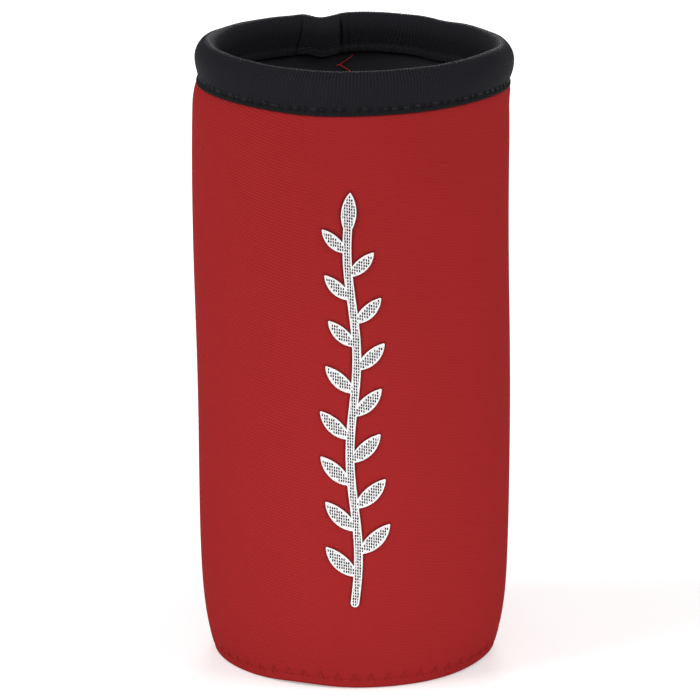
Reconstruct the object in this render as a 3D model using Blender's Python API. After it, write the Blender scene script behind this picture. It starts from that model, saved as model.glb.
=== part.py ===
"""A slim can cooler sleeve, in metres, +Z up, standing on its base with the origin under its centre.

The wall is a foam laminate, red knit outside and black knit inside. It was cut flat, rolled into a
tube, butted edge to edge at the back and sewn to a base disc of the same laminate. A strip of black
ribbed knit is folded over the rim, stitched through below the roll, and its ends lap at the back left.
Azimuths are in degrees from +X, counterclockwise from above, so the front is at 270.
"""

import math

import bmesh
import bpy
from mathutils import Vector

MM = 0.001

# Driving dimensions: the can that the sleeve hugs, the laminate and the finished height
CAN_DIAMETER = 58.0 * MM
CAN_EASE = 0.25 * MM
LAMINATE = 3.0 * MM
HEIGHT = 128.2 * MM
BODY_RADIUS = CAN_DIAMETER / 2 + CAN_EASE + LAMINATE

# Touching pieces keep this gap
GAP = 0.3 * MM
# The share of the laminate, less the gap, that is the faced foam; the rest is the lining
FACED_SHARE = 0.74

# The foot: the wall is drawn in towards the base seam, most at the very bottom
FOOT_DRAW_IN = 3.3 * MM
FOOT_REACH = 8.8 * MM

# The base seam: the wall's lower edge butts on the disc's upturned edge along a sloping face
SEAM_HEIGHT = 2.0 * MM
SEAM_SLOPE = 0.367
CORNER_WIDTH = 1.0 * MM
CORNER_HEIGHT = 0.9 * MM
LIP_WIDTH = 2.1 * MM
LIP_ROOT = 0.6 * MM

# The base is flat inside this radius; beyond it the seam lifts the foot's edge at two places, given
# like the rim's swells, and the lift dies out up the wall
FLAT_RADIUS = 27.0 * MM
LIFT_FULL_RADIUS = 28.3 * MM
LIFT_HEIGHTS = (2.0 * MM, 12.0 * MM)
FOOT_LIFTS = {
    "right": (340.0, 0.55 * MM, 24.0),
    "front left": (248.0, 0.4 * MM, 14.0),
}

# The rim binding: a folded strip whose roll stands wider than the wall, nipped in by its stitch line
BINDING = 0.8 * MM
SELVEDGE = 0.5 * MM
ROLL_WIDTH = 4.95 * MM
ROLL_RISE = 3.65 * MM
ROLL_RADIUS = 29.9 * MM
# Above 1, this makes the roll's arch slimmer towards its crest than a half ellipse
ARCH_SLIMNESS = 1.2
OUTER_STITCH_DROP = 7.25 * MM
INNER_STITCH_DROP = 6.4 * MM
OUTER_LEG_DROPS = (8.6 * MM, 8.0 * MM, OUTER_STITCH_DROP, 6.3 * MM, 5.1 * MM)
INNER_LEG_DROPS = (5.1 * MM, INNER_STITCH_DROP, 7.3 * MM, 8.0 * MM)
OUTER_NIP = 0.65 * MM
INNER_NIP = 0.3 * MM
NIP_REACH = 2.0 * MM

# The wall narrows gently towards the binding, then its foam rounds in under the binding's edge
NECK = 0.3 * MM
NECK_REACH = 3.5 * MM
SHOULDER_REACH = 0.5 * MM

# The lap of the binding's ends; its layers and the gap between them are shares of the strip's thickness
LAP_START = 95.8
LAP_END = 113.4
LAP_CREASE = 1.5
LAP_CLEARANCE = 0.6
UNDER_LAYER = 0.44
OVER_LAYER = 0.5
LAYER_GAP = 0.38

# The sewn rim isn't level: it swells and dips from a common level at places given as (azimuth, rise,
# reach in degrees)
RIM_LEVEL = -0.32 * MM
RIM_SWELLS = {
    "left side": (180.0, 0.85 * MM, 70.0),
    "front left": (254.0, -0.4 * MM, 20.0),
    "front right": (330.0, 0.7 * MM, 32.0),
    "back": (79.0, 0.8 * MM, 34.0),
    "back right": (52.0, -0.4 * MM, 8.0),
    "lap": (104.0, -0.95 * MM, 8.0),
    "left shoulder of the lap": (110.0, 0.5 * MM, 4.5),
}
SWELL_HEIGHTS = (108.0 * MM, 116.0 * MM)

# The back seam: a butt joint whose edges the zigzag stitch rounds over
BACK_SEAM = 93.3
BACK_PINCH_OUTSIDE = 0.6 * MM
BACK_PINCH_INSIDE = 0.2 * MM
BACK_PINCH_WIDTH = 1.6 * MM
BACK_PINCH_STEPS = (0.0, 0.3, 1.0)

# The soft tube leans a little to the left below its rim
LEAN = 0.8 * MM
LEAN_HEIGHT = 105.0 * MM
LEAN_REACH = 40.0 * MM
LEAN_ENDS = (115.0 * MM, 123.0 * MM)

# Facets
TURN = 360.0
WALL_SIDES = 48
BINDING_SIDES = 48
LAP_SIDES = 6
ARCH_STEPS = 8
CORNER_STEPS = 3
SEAM_SEARCH_STEPS = 4
MERGE_DISTANCE = 0.001 * MM
SHARP_ANGLE = 40.0

# Heights where the wall's faces have an edge loop
BODY_HEIGHTS = [z * MM for z in (4.5, 8.0, 13.0, 20.0, 32.0, 60.0, 88.0, 112.0)]
CORE_HEIGHTS = [z * MM for z in (8.0, 20.0, 32.0, 60.0, 88.0, 112.0)]
NECK_DROPS = [d * MM for d in (12.5, 10.4, 9.3, 8.8, 7.9, 7.25, 6.3, 5.1, 3.6, 2.6, 1.8)]
CORE_NECK_DROPS = [d * MM for d in (10.4, 8.8, 7.25, 5.1, 3.6, 1.8)]

# Knits: an 8-bit screen colour and a roughness
RED_KNIT = ((157, 41, 42), 0.85)
BLACK_KNIT = ((30, 30, 33), 0.9)
BLACK_RIB = ((35, 35, 38), 0.75)


def eased(low, high, value):
    """A smooth step from 0 at low to 1 at high."""
    t = min(max((value - low) / (high - low), 0.0), 1.0)
    return t * t * (3 - 2 * t)


def bell(value, centre, reach):
    """1 at the centre, falling smoothly to nothing a few reaches away."""
    return math.exp(-(((value - centre) / reach) ** 2))


def azimuth_away(azimuth, centre):
    """The signed angle from centre to azimuth, in degrees, the short way round."""
    return (azimuth - centre + TURN / 2) % TURN - TURN / 2


def swelling(azimuth, swells):
    """The sum of a table of (azimuth, rise, reach) swells at an azimuth."""
    rises = [rise * bell(azimuth_away(azimuth, at), 0, reach) for at, rise, reach in swells.values()]
    return sum(rises)


def settled(radius, azimuth, height):
    """Where a point of the sleeve lies once the soft tube leans and the sewing has drawn its ends."""
    lean = LEAN * bell(height, LEAN_HEIGHT, LEAN_REACH) * (1 - eased(*LEAN_ENDS, height))
    rim = (RIM_LEVEL + swelling(azimuth, RIM_SWELLS)) * eased(*SWELL_HEIGHTS, height)
    outward = eased(FLAT_RADIUS, LIFT_FULL_RADIUS, radius)
    foot = swelling(azimuth, FOOT_LIFTS) * outward * (1 - eased(*LIFT_HEIGHTS, height))
    angle = math.radians(azimuth)
    return Vector((radius * math.cos(angle) - lean, radius * math.sin(angle), height + rim + foot))


def body_radius(height):
    """The wall's outer radius below the binding."""
    return BODY_RADIUS - FOOT_DRAW_IN * math.exp(-height / FOOT_REACH)


def binding_surface():
    """(radius, height) points over the binding's visible surface, outer edge to inner edge."""
    centre = HEIGHT - ROLL_RISE
    half = ROLL_WIDTH / 2
    points = []
    for drop in OUTER_LEG_DROPS:
        nip = OUTER_NIP * bell(drop, OUTER_STITCH_DROP, NIP_REACH)
        points.append((ROLL_RADIUS + half - nip, HEIGHT - drop))
    for step in range(ARCH_STEPS + 1):
        angle = math.pi * step / ARCH_STEPS
        across = math.copysign(abs(math.cos(angle)) ** ARCH_SLIMNESS, math.cos(angle))
        points.append((ROLL_RADIUS + half * across, centre + ROLL_RISE * math.sin(angle)))
    for drop in INNER_LEG_DROPS:
        nip = INNER_NIP * bell(drop, INNER_STITCH_DROP, NIP_REACH)
        points.append((ROLL_RADIUS - half + nip, HEIGHT - drop))
    return points


def inset(points, share, beyond=0.0):
    """The row of points moved towards the inside of the fold, by a share of the strip's thickness.

    The strip thins to a selvedge at both edges. What lies beyond is added to the share.
    """
    last = len(points) - 1
    moved = []
    for i, (radius, height) in enumerate(points):
        before = points[max(i - 1, 0)]
        after = points[min(i + 1, last)]
        along = Vector((after[0] - before[0], after[1] - before[1])).normalized()
        depth = share * (SELVEDGE if i in (0, last) else BINDING) + beyond
        moved.append((radius - along.y * depth, height + along.x * depth))
    return moved


def radius_on(side, height):
    """The radius of a row of (radius, height) points that climbs, read at a height."""
    for (r0, z0), (r1, z1) in zip(side, side[1:]):
        if height <= z1:
            return r0 + (r1 - r0) * max(height - z0, 0.0) / (z1 - z0)
    return side[-1][0]


def climbing(points):
    """The points of a row up to its highest one."""
    top = max(range(len(points)), key=lambda i: points[i][1])
    return points[: top + 1]


UNDER_BINDING = inset(binding_surface(), 1.0, GAP)
UNDER_OUTER_LEG = climbing(UNDER_BINDING)
UNDER_INNER_LEG = climbing(UNDER_BINDING[::-1])


def wall_radius(height, body, leg):
    """A face of the laminate: the body's own radius below, drawn in under a leg of the binding."""
    edge_radius, edge_height = leg[0]
    if height >= edge_height:
        return radius_on(leg, height)
    below = edge_height - height
    neck = math.copysign(NECK, body - edge_radius)
    shoulder = body - neck - edge_radius
    return body - neck * math.exp(-below / NECK_REACH) - shoulder * math.exp(-below / SHOULDER_REACH)


def wall_faces(height):
    """Radii of the laminate's four faces: the panel's outside and inside, the lining's outside and inside."""
    outside = wall_radius(height, body_radius(height), UNDER_OUTER_LEG)
    inside = wall_radius(height, body_radius(height) - LAMINATE, UNDER_INNER_LEG)
    solid = outside - inside - GAP
    split = outside - solid * FACED_SHARE
    return outside, split, split - GAP, inside


def seam_height(radius):
    """The height of the wall's lower cut edge, which climbs towards the inside."""
    return SEAM_HEIGHT + (body_radius(SEAM_HEIGHT) - radius) * SEAM_SLOPE


def lower_corner(face):
    """The (radius, height) where one of the wall's four faces meets its lower cut edge."""
    height = SEAM_HEIGHT
    for _ in range(SEAM_SEARCH_STEPS):
        height = seam_height(wall_faces(height)[face])
    return wall_faces(height)[face], height


def face_points(face, heights, drops, pinch):
    """One face of the laminate from its lower cut edge to its top, moved by a pinch."""
    points = [lower_corner(face)]
    points += [(wall_faces(z)[face], z) for z in heights + [HEIGHT - drop for drop in drops]]
    return [(radius + pinch, height) for radius, height in points]


def panel_section(pinch):
    """The faced foam's section. The pinch, 0 to 1, rounds its outer edge over at the back seam."""
    outside = face_points(0, BODY_HEIGHTS, NECK_DROPS, -pinch * BACK_PINCH_OUTSIDE)
    inside = face_points(1, CORE_HEIGHTS, CORE_NECK_DROPS, 0.0)
    return outside + inside[::-1]


def lining_section(pinch):
    """The lining's section, pinched on its inner side."""
    outside = face_points(2, CORE_HEIGHTS, CORE_NECK_DROPS, 0.0)
    inside = face_points(3, CORE_HEIGHTS, CORE_NECK_DROPS, pinch * BACK_PINCH_INSIDE)
    return outside + inside[::-1]


def binding_section(outer_share, inner_share):
    """The folded strip's section between two depths, as shares of its thickness."""
    surface = binding_surface()
    return inset(surface, outer_share) + inset(surface, inner_share)[::-1]


def base_disc_section():
    """The faced foam of the base: flat below, with its edge turned up to the seam."""
    corner_radius = body_radius(CORNER_HEIGHT)
    points = [(0.0, 0.0), (FLAT_RADIUS, 0.0)]
    for step in range(CORNER_STEPS + 1):
        angle = math.pi / 2 * step / CORNER_STEPS
        radius = corner_radius - CORNER_WIDTH * (1 - math.sin(angle))
        points.append((radius, CORNER_HEIGHT * (1 - math.cos(angle))))
    drop = GAP * math.hypot(1, SEAM_SLOPE)
    points.append((body_radius(SEAM_HEIGHT - drop), SEAM_HEIGHT - drop))
    inner = body_radius(SEAM_HEIGHT) - LIP_WIDTH
    top = (LAMINATE - GAP) * FACED_SHARE
    points += [(inner, seam_height(inner) - drop), (inner - LIP_ROOT, top), (0.0, top)]
    return points


def base_lining_section():
    """The lining of the base, a plain disc inside the turned-up edge."""
    low = (LAMINATE - GAP) * FACED_SHARE + GAP
    edge = body_radius(SEAM_HEIGHT) - LAMINATE
    return [(0.0, low), (edge, low), (edge, LAMINATE), (0.0, LAMINATE)]


def linear(screen):
    """An 8-bit screen colour as the linear RGBA that a shader takes."""
    parts = [value / 255 for value in screen]
    return [p / 12.92 if p <= 0.04045 else ((p + 0.055) / 1.055) ** 2.4 for p in parts] + [1.0]


def knit(name, screen, roughness):
    """A matt knit fabric of one colour."""
    material = bpy.data.materials.new(name)
    material.use_nodes = True
    shader = material.node_tree.nodes["Principled BSDF"]
    shader.inputs["Base Color"].default_value = linear(screen)
    shader.inputs["Roughness"].default_value = roughness
    shader.inputs["Metallic"].default_value = 0.0
    return material


def sweep(name, stations, material):
    """One closed solid through a row of (azimuth, section) stations about the sleeve's axis.

    Stations that reach a full turn close on themselves; any others are capped at both ends.
    """
    around = math.isclose(stations[-1][0] - stations[0][0], TURN)
    if around:
        stations = stations[:-1]
    mesh = bmesh.new()
    rings = []
    for azimuth, section in stations:
        rings.append([mesh.verts.new(settled(radius, azimuth, height)) for radius, height in section])
    pairs = list(zip(rings, rings[1:]))
    if around:
        pairs.append((rings[-1], rings[0]))
    for here, there in pairs:
        for i in range(len(here)):
            j = (i + 1) % len(here)
            mesh.faces.new((here[i], here[j], there[j], there[i]))
    if not around:
        mesh.faces.new(rings[0])
        mesh.faces.new(rings[-1][::-1])
    bmesh.ops.remove_doubles(mesh, verts=mesh.verts, dist=MERGE_DISTANCE)
    bmesh.ops.recalc_face_normals(mesh, faces=mesh.faces)
    data = bpy.data.meshes.new(name)
    mesh.to_mesh(data)
    mesh.free()
    data.shade_smooth()
    data.set_sharp_from_angle(angle=math.radians(SHARP_ANGLE))
    data.materials.append(material)
    solid = bpy.data.objects.new(name, data)
    bpy.context.scene.collection.objects.link(solid)
    return solid


def full_turn(section):
    """Stations of one unchanging section all the way round."""
    return [(TURN * i / WALL_SIDES, section) for i in range(WALL_SIDES + 1)]


def seamed_turn(make_section):
    """Stations from one side of the back seam round to the other, rounded over beside it."""
    half_gap = math.degrees(GAP / 2 / BODY_RADIUS)
    start = BACK_SEAM + half_gap
    span = TURN - 2 * half_gap
    pinch_span = math.degrees(BACK_PINCH_WIDTH / BODY_RADIUS)
    near = [pinch_span * share for share in BACK_PINCH_STEPS]
    plain = [pinch_span + (span - 2 * pinch_span) * i / WALL_SIDES for i in range(1, WALL_SIDES)]
    stations = []
    for away in near + plain + [span - a for a in near[::-1]]:
        from_edge = min(away, span - away)
        pinch = max(0.0, 1 - from_edge / pinch_span) ** 2
        stations.append((start + away, make_section(pinch)))
    return stations


def binding_stations():
    """Stations along the strip: a thin under end, one full turn, and a thin end lapped over the first."""
    plain = binding_section(0.0, 1.0)
    under = binding_section(1.0 - UNDER_LAYER, 1.0)
    over_inside = 1.0 - UNDER_LAYER - LAYER_GAP
    over = binding_section(over_inside - OVER_LAYER, over_inside)
    lap = LAP_END - LAP_START
    stations = []
    for i in range(LAP_SIDES + 1):
        stations.append((LAP_START + LAP_CLEARANCE + (lap - LAP_CLEARANCE) * i / LAP_SIDES, under))
    first = LAP_END + LAP_CREASE
    last = LAP_START + TURN - LAP_CREASE
    for i in range(BINDING_SIDES):
        stations.append((first + (last - first) * i / (BINDING_SIDES - 1), plain))
    for i in range(LAP_SIDES + 1):
        stations.append((LAP_START + TURN + (lap - LAP_CLEARANCE) * i / LAP_SIDES, over))
    return stations


def main():
    """Builds the sleeve's five pieces."""
    for old in list(bpy.data.objects):
        bpy.data.objects.remove(old, do_unlink=True)
    red = knit("red_knit", *RED_KNIT)
    black = knit("black_knit", *BLACK_KNIT)
    rib = knit("black_rib", *BLACK_RIB)
    sweep("wall_panel", seamed_turn(panel_section), red)
    sweep("wall_lining", seamed_turn(lining_section), black)
    sweep("base_disc", full_turn(base_disc_section()), red)
    sweep("base_lining", full_turn(base_lining_section()), black)
    sweep("rim_binding", binding_stations(), rib)


main()
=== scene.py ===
"""Looks for a slim can cooler sleeve: knit-faced foam wall, sewn base, ribbed rim binding and its threads.

Lengths are in metres and azimuths in degrees from +X, counterclockwise from above, so the front is
at 270. Every piece follows one SleeveForm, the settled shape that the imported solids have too. Cloth
pieces carry a "cloth" attribute, their place along and across the cloth in metres, which the knit
finishes read, so that ribs and loops keep their real size and follow the surface.
"""

from __future__ import annotations

import logging
import math
from dataclasses import dataclass, field
from enum import Enum
from typing import Callable, Sequence

import bmesh
import bpy
import numpy as np
from mathutils import Matrix, Vector

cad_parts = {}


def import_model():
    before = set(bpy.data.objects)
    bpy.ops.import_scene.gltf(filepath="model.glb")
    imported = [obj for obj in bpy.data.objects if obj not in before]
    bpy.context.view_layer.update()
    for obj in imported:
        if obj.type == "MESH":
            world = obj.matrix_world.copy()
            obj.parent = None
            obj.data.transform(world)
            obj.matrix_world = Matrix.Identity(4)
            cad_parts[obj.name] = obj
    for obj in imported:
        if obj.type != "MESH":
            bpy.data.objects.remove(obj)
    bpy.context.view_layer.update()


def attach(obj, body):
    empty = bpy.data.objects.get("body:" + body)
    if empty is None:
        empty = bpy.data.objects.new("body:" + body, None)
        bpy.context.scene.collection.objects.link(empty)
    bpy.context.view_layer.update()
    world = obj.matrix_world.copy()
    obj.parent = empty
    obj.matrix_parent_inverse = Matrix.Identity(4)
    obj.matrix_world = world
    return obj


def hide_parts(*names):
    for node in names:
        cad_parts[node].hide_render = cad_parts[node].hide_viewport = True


log = logging.getLogger("sleeve")

Array = np.ndarray
MM = 0.001
BODY = "root"
CLOTH = "cloth"
WELD = 0.001 * MM
CREASE_ANGLE = 60.0
FRONT = 270.0
WHITE = (1.0, 1.0, 1.0, 1.0)


class Side(Enum):
    """Which face of the wall a row of sewing lies on."""

    OUTSIDE = 1
    INSIDE = -1


def eased(low: float, high: float, value: Array) -> Array:
    """A smooth step from 0 at low to 1 at high."""
    t = np.clip((np.asarray(value, float) - low) / (high - low), 0.0, 1.0)
    return t * t * (3 - 2 * t)


def bell(offset: Array, reach: float) -> Array:
    """1 at no offset, falling smoothly to nothing a few reaches away."""
    return np.exp(-((np.asarray(offset, float) / reach) ** 2))


def azimuth_away(azimuth: Array, centre: float) -> Array:
    """The signed angle from centre to azimuth, in degrees, the short way round."""
    return (np.asarray(azimuth, float) - centre + 180.0) % 360.0 - 180.0


def linear(screen: Sequence[int]) -> tuple[float, float, float, float]:
    """An 8-bit screen colour as the linear RGBA that a shader takes."""
    parts = [value / 255 for value in screen]
    low = [p / 12.92 if p <= 0.04045 else ((p + 0.055) / 1.055) ** 2.4 for p in parts]
    return (low[0], low[1], low[2], 1.0)


@dataclass(frozen=True)
class Swell:
    """A smooth rise or dip of the sewn edge, around one azimuth."""

    azimuth: float
    rise: float
    reach: float

    def at(self, azimuth: Array) -> Array:
        """The rise at an azimuth."""
        return self.rise * bell(azimuth_away(azimuth, self.azimuth), self.reach)


@dataclass(frozen=True)
class SleeveForm:
    """The sleeve's settled shape: the wall's outline, and how sewing and softness move it."""

    crest: float = 128.2 * MM
    body_radius: float = 32.25 * MM
    laminate: float = 3.0 * MM
    facing: float = 2.1 * MM
    foot_draw_in: float = 3.3 * MM
    foot_reach: float = 8.8 * MM
    seam_height: float = 2.0 * MM
    neck: float = 0.3 * MM
    neck_reach: float = 3.5 * MM
    shoulder_reach: float = 0.35 * MM
    binding_edge: float = 119.6 * MM
    under_binding: float = 31.4 * MM
    tuck: float = 0.8 * MM
    tuck_height: float = 1.0 * MM
    mouth_draw_in: float = 0.45 * MM
    mouth_heights: tuple[float, float] = (116.0 * MM, 121.0 * MM)
    back_seam: float = 93.3
    lap_start: float = 95.8
    lap_end: float = 113.4
    rim_level: float = -0.32 * MM
    rim_swells: tuple[Swell, ...] = (
        Swell(180.0, 0.85 * MM, 70.0),
        Swell(254.0, -0.4 * MM, 20.0),
        Swell(330.0, 0.7 * MM, 32.0),
        Swell(79.0, 0.8 * MM, 34.0),
        Swell(52.0, -0.4 * MM, 8.0),
        Swell(104.0, -0.95 * MM, 8.0),
        Swell(110.0, 0.5 * MM, 4.5),
    )
    swell_heights: tuple[float, float] = (108.0 * MM, 116.0 * MM)
    foot_swells: tuple[Swell, ...] = (Swell(340.0, 0.55 * MM, 24.0), Swell(248.0, 0.4 * MM, 14.0))
    foot_heights: tuple[float, float] = (2.0 * MM, 12.0 * MM)
    foot_radii: tuple[float, float] = (27.0 * MM, 28.3 * MM)
    lean: float = 0.8 * MM
    lean_height: float = 105.0 * MM
    lean_reach: float = 40.0 * MM
    lean_ends: tuple[float, float] = (115.0 * MM, 123.0 * MM)

    def settled(self, radius: Array, azimuth: Array, height: Array) -> Array:
        """Places points of the sleeve where the soft tube and its drawn ends come to lie.

        Args:
            radius: Distances from the axis.
            azimuth: Directions, in degrees.
            height: Heights above the base.

        Returns:
            The points, with x, y and z on the last axis.
        """
        radius, azimuth, height = np.broadcast_arrays(radius, azimuth, height)
        lean = self.lean * bell(height - self.lean_height, self.lean_reach)
        lean = lean * (1 - eased(*self.lean_ends, height))
        rim = self.rim_level + sum(swell.at(azimuth) for swell in self.rim_swells)
        foot = sum(swell.at(azimuth) for swell in self.foot_swells) * eased(*self.foot_radii, radius)
        raised = height + rim * eased(*self.swell_heights, height)
        raised = raised + foot * (1 - eased(*self.foot_heights, height))
        angle = np.radians(azimuth)
        return np.stack([radius * np.cos(angle) - lean, radius * np.sin(angle), raised], axis=-1)

    def outline(self, height: Array) -> Array:
        """The wall's outer radius at a height, drawn in at the foot and tucked under the binding."""
        height = np.asarray(height, float)
        below = np.maximum(self.binding_edge - height, 0.0)
        radius = self.body_radius - self.foot_draw_in * np.exp(-height / self.foot_reach)
        shoulder = self.body_radius - self.neck - self.under_binding
        radius = radius - self.neck * np.exp(-below / self.neck_reach)
        radius = radius - shoulder * np.exp(-below / self.shoulder_reach)
        return radius - self.tuck * eased(self.binding_edge, self.binding_edge + self.tuck_height, height)

    def inner(self, height: Array) -> Array:
        """The lining's radius at a height, drawn in at the mouth."""
        height = np.asarray(height, float)
        radius = self.body_radius - self.foot_draw_in * np.exp(-height / self.foot_reach) - self.laminate
        return radius - self.mouth_draw_in * eased(*self.mouth_heights, height)


def link(mesh: bpy.types.Mesh, name: str) -> bpy.types.Object:
    """Makes an object of a mesh in the scene, and gives it the mesh's name."""
    piece = bpy.data.objects.new(name, mesh)
    piece.data.name = name
    bpy.context.scene.collection.objects.link(piece)
    return piece


def write_cloth(mesh: bpy.types.Mesh, cloth: Array) -> None:
    """Stores each vertex's place on the flat cloth, in metres."""
    layer = mesh.attributes.new(CLOTH, "FLOAT_VECTOR", "POINT")
    layer.data.foreach_set("vector", cloth.astype(np.float32).ravel())


def shell(
    name: str,
    points: Array,
    cloth: Array,
    material: bpy.types.Material,
    around: bool = False,
) -> bpy.types.Object:
    """Skins a row of closed sections into one closed solid.

    Args:
        name: The piece's name.
        points: Stations by section points by x, y, z.
        cloth: The same points' places on the cloth, shaped alike.
        material: The finish.
        around: Whether the last station joins the first; otherwise both ends are capped.

    Returns:
        The piece, smooth-shaded, with its faces pointing out.
    """
    stations, count = points.shape[:2]
    index = np.arange(stations * count).reshape(stations, count)
    if around:
        index = np.concatenate([index, index[:1]])
    here, there = index[:-1], index[1:]
    quads = np.stack([here, np.roll(here, -1, 1), np.roll(there, -1, 1), there], axis=-1).reshape(-1, 4)
    faces = quads.tolist()
    if not around:
        faces += [index[0][::-1].tolist(), index[-1].tolist()]
    mesh = bpy.data.meshes.new(name)
    mesh.from_pydata(points.reshape(-1, 3).tolist(), [], faces)
    write_cloth(mesh, cloth)
    work = bmesh.new()
    work.from_mesh(mesh)
    bmesh.ops.remove_doubles(work, verts=work.verts, dist=WELD)
    caps = [face for face in work.faces if len(face.verts) > 4]
    bmesh.ops.triangulate(work, faces=caps)
    bmesh.ops.recalc_face_normals(work, faces=work.faces)
    if work.calc_volume(signed=True) < 0:
        bmesh.ops.reverse_faces(work, faces=work.faces)
    work.to_mesh(mesh)
    work.free()
    mesh.shade_smooth()
    mesh.set_sharp_from_angle(angle=math.radians(CREASE_ANGLE))
    mesh.materials.append(material)
    return link(mesh, name)


class TreeMaker:
    """A node tree under construction."""

    prefix = ""

    def __init__(self, tree: bpy.types.NodeTree) -> None:
        """Takes the tree to add nodes to."""
        self.tree = tree

    def node(
        self, kind: str, settings: dict[str, object] | None = None, **inputs: object
    ) -> bpy.types.Node:
        """Adds a node.

        Args:
            kind: The node's type name, less the maker's prefix.
            settings: Properties to set on it.
            **inputs: Values or sockets by input name, with _ for a space, or iN for input number N.

        Returns:
            The node.
        """
        return add_node(self.tree, self.prefix + kind, settings or {}, inputs)

    def math(self, operation: str, *values: object) -> bpy.types.NodeSocket:
        """Adds a Math node on the values, and gives its result."""
        inputs = {f"i{i}": value for i, value in enumerate(values)}
        return add_node(self.tree, "ShaderNodeMath", {"operation": operation}, inputs).outputs[0]

    def seen_directly(self) -> bpy.types.NodeSocket:
        """1 for rays that come from the camera, also by reflection or through glass, otherwise 0."""
        path = add_node(self.tree, "ShaderNodeLightPath", {}, {}).outputs
        seen = self.math("MAXIMUM", path["Is Camera Ray"], path["Is Glossy Ray"])
        return self.math("MAXIMUM", seen, path["Is Transmission Ray"])


class ShaderTree(TreeMaker):
    """A material's node tree under construction."""

    prefix = "ShaderNode"

    def __init__(self, name: str) -> None:
        """Starts a material of one Principled shader."""
        self.material = bpy.data.materials.new(name)
        self.material.use_nodes = True
        super().__init__(self.material.node_tree)
        self.shader = self.tree.nodes["Principled BSDF"]

    def constant(self, **inputs: object) -> None:
        """Sets values on the shader's own sockets, by input name with _ for a space."""
        for label, value in inputs.items():
            self.shader.inputs[label.replace("_", " ")].default_value = value

    def cloth(self) -> Sequence[bpy.types.NodeSocket]:
        """The cloth's own coordinates: along, across, and how plainly its loops show, in bump and in
        painted shade.
        """
        place = self.node("Attribute", {"attribute_name": CLOTH}).outputs["Vector"]
        return self.node("SeparateXYZ", Vector=place).outputs

    def noise(self, scale: float, detail: float) -> bpy.types.NodeSocket:
        """Noise over the object's own space."""
        spot = self.node("TexCoord").outputs["Object"]
        return self.node("TexNoise", Vector=spot, Scale=scale, Detail=detail).outputs["Fac"]

    def dress(
        self, colour: Sequence[int], bright: bpy.types.NodeSocket, bump: bpy.types.Node
    ) -> None:
        """Gives the shader a screen colour scaled by a brightness, and a bump."""
        shaded = self.node("VectorMath", {"operation": "SCALE"}, i0=linear(colour)[:3], Scale=bright)
        self.tree.links.new(shaded.outputs[0], self.shader.inputs["Base Color"])
        self.tree.links.new(bump.outputs[0], self.shader.inputs["Normal"])


class GeometryTree(TreeMaker):
    """A geometry node tree under construction, with named inputs."""

    def __init__(self, name: str, inputs: dict[str, tuple[str, object]]) -> None:
        """Starts a tree.

        Args:
            name: The tree's name.
            inputs: Socket kind, such as Float, and default value, by input name.
        """
        super().__init__(bpy.data.node_groups.new(name, "GeometryNodeTree"))
        face = self.tree.interface
        face.new_socket("Geometry", in_out="INPUT", socket_type="NodeSocketGeometry")
        for label, (kind, value) in inputs.items():
            socket = face.new_socket(label, in_out="INPUT", socket_type="NodeSocket" + kind)
            if value is not None:
                socket.default_value = value
        face.new_socket("Geometry", in_out="OUTPUT", socket_type="NodeSocketGeometry")
        self.given = self.tree.nodes.new("NodeGroupInput").outputs

    def end(self, geometry: bpy.types.NodeSocket) -> bpy.types.NodeTree:
        """Ends the tree with real, shaded geometry in the Finish material."""
        smooth = self.node("GeometryNodeSetShadeSmooth", Geometry=geometry)
        real = self.node("GeometryNodeRealizeInstances", Geometry=smooth.outputs[0])
        dressed = self.node(
            "GeometryNodeSetMaterial", Geometry=real.outputs[0], Material=self.given["Finish"]
        )
        out = self.tree.nodes.new("NodeGroupOutput")
        self.tree.links.new(dressed.outputs[0], out.inputs[0])
        return self.tree


def add_node(
    tree: bpy.types.NodeTree, kind: str, settings: dict[str, object], inputs: dict[str, object]
) -> bpy.types.Node:
    """Adds a node to a tree and fills its inputs.

    Args:
        tree: The tree.
        kind: The node's type name.
        settings: Properties to set before the inputs.
        inputs: Values or sockets, by input name with _ for a space, or by iN for input number N.

    Returns:
        The node.
    """
    node = tree.nodes.new(kind)
    for name, value in settings.items():
        setattr(node, name, value)
    for label, value in inputs.items():
        numbered = label[0] == "i" and label[1:].isdigit()
        socket = node.inputs[int(label[1:]) if numbered else label.replace("_", " ")]
        if isinstance(value, bpy.types.NodeSocket):
            tree.links.new(value, socket)
        else:
            socket.default_value = value
    return node


def grown(
    host: bpy.types.Object, tree: bpy.types.NodeTree, values: dict[str, object], name: str
) -> bpy.types.Object:
    """Runs a geometry tree on a host object and keeps only the plain mesh that it gives.

    Args:
        host: The object whose mesh the tree starts from; it is removed.
        tree: The geometry node tree.
        values: Input values by input name.
        name: The finished piece's name.

    Returns:
        The finished piece.
    """
    modifier = host.modifiers.new("grow", "NODES")
    modifier.node_group = tree
    for item in tree.interface.items_tree:
        if item.item_type == "SOCKET" and item.in_out == "INPUT" and item.name in values:
            modifier[item.identifier] = values[item.name]
    graph = bpy.context.evaluated_depsgraph_get()
    mesh = bpy.data.meshes.new_from_object(host.evaluated_get(graph), depsgraph=graph)
    host.modifiers.remove(modifier)
    bpy.data.objects.remove(host, do_unlink=True)
    return link(mesh, name)


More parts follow.
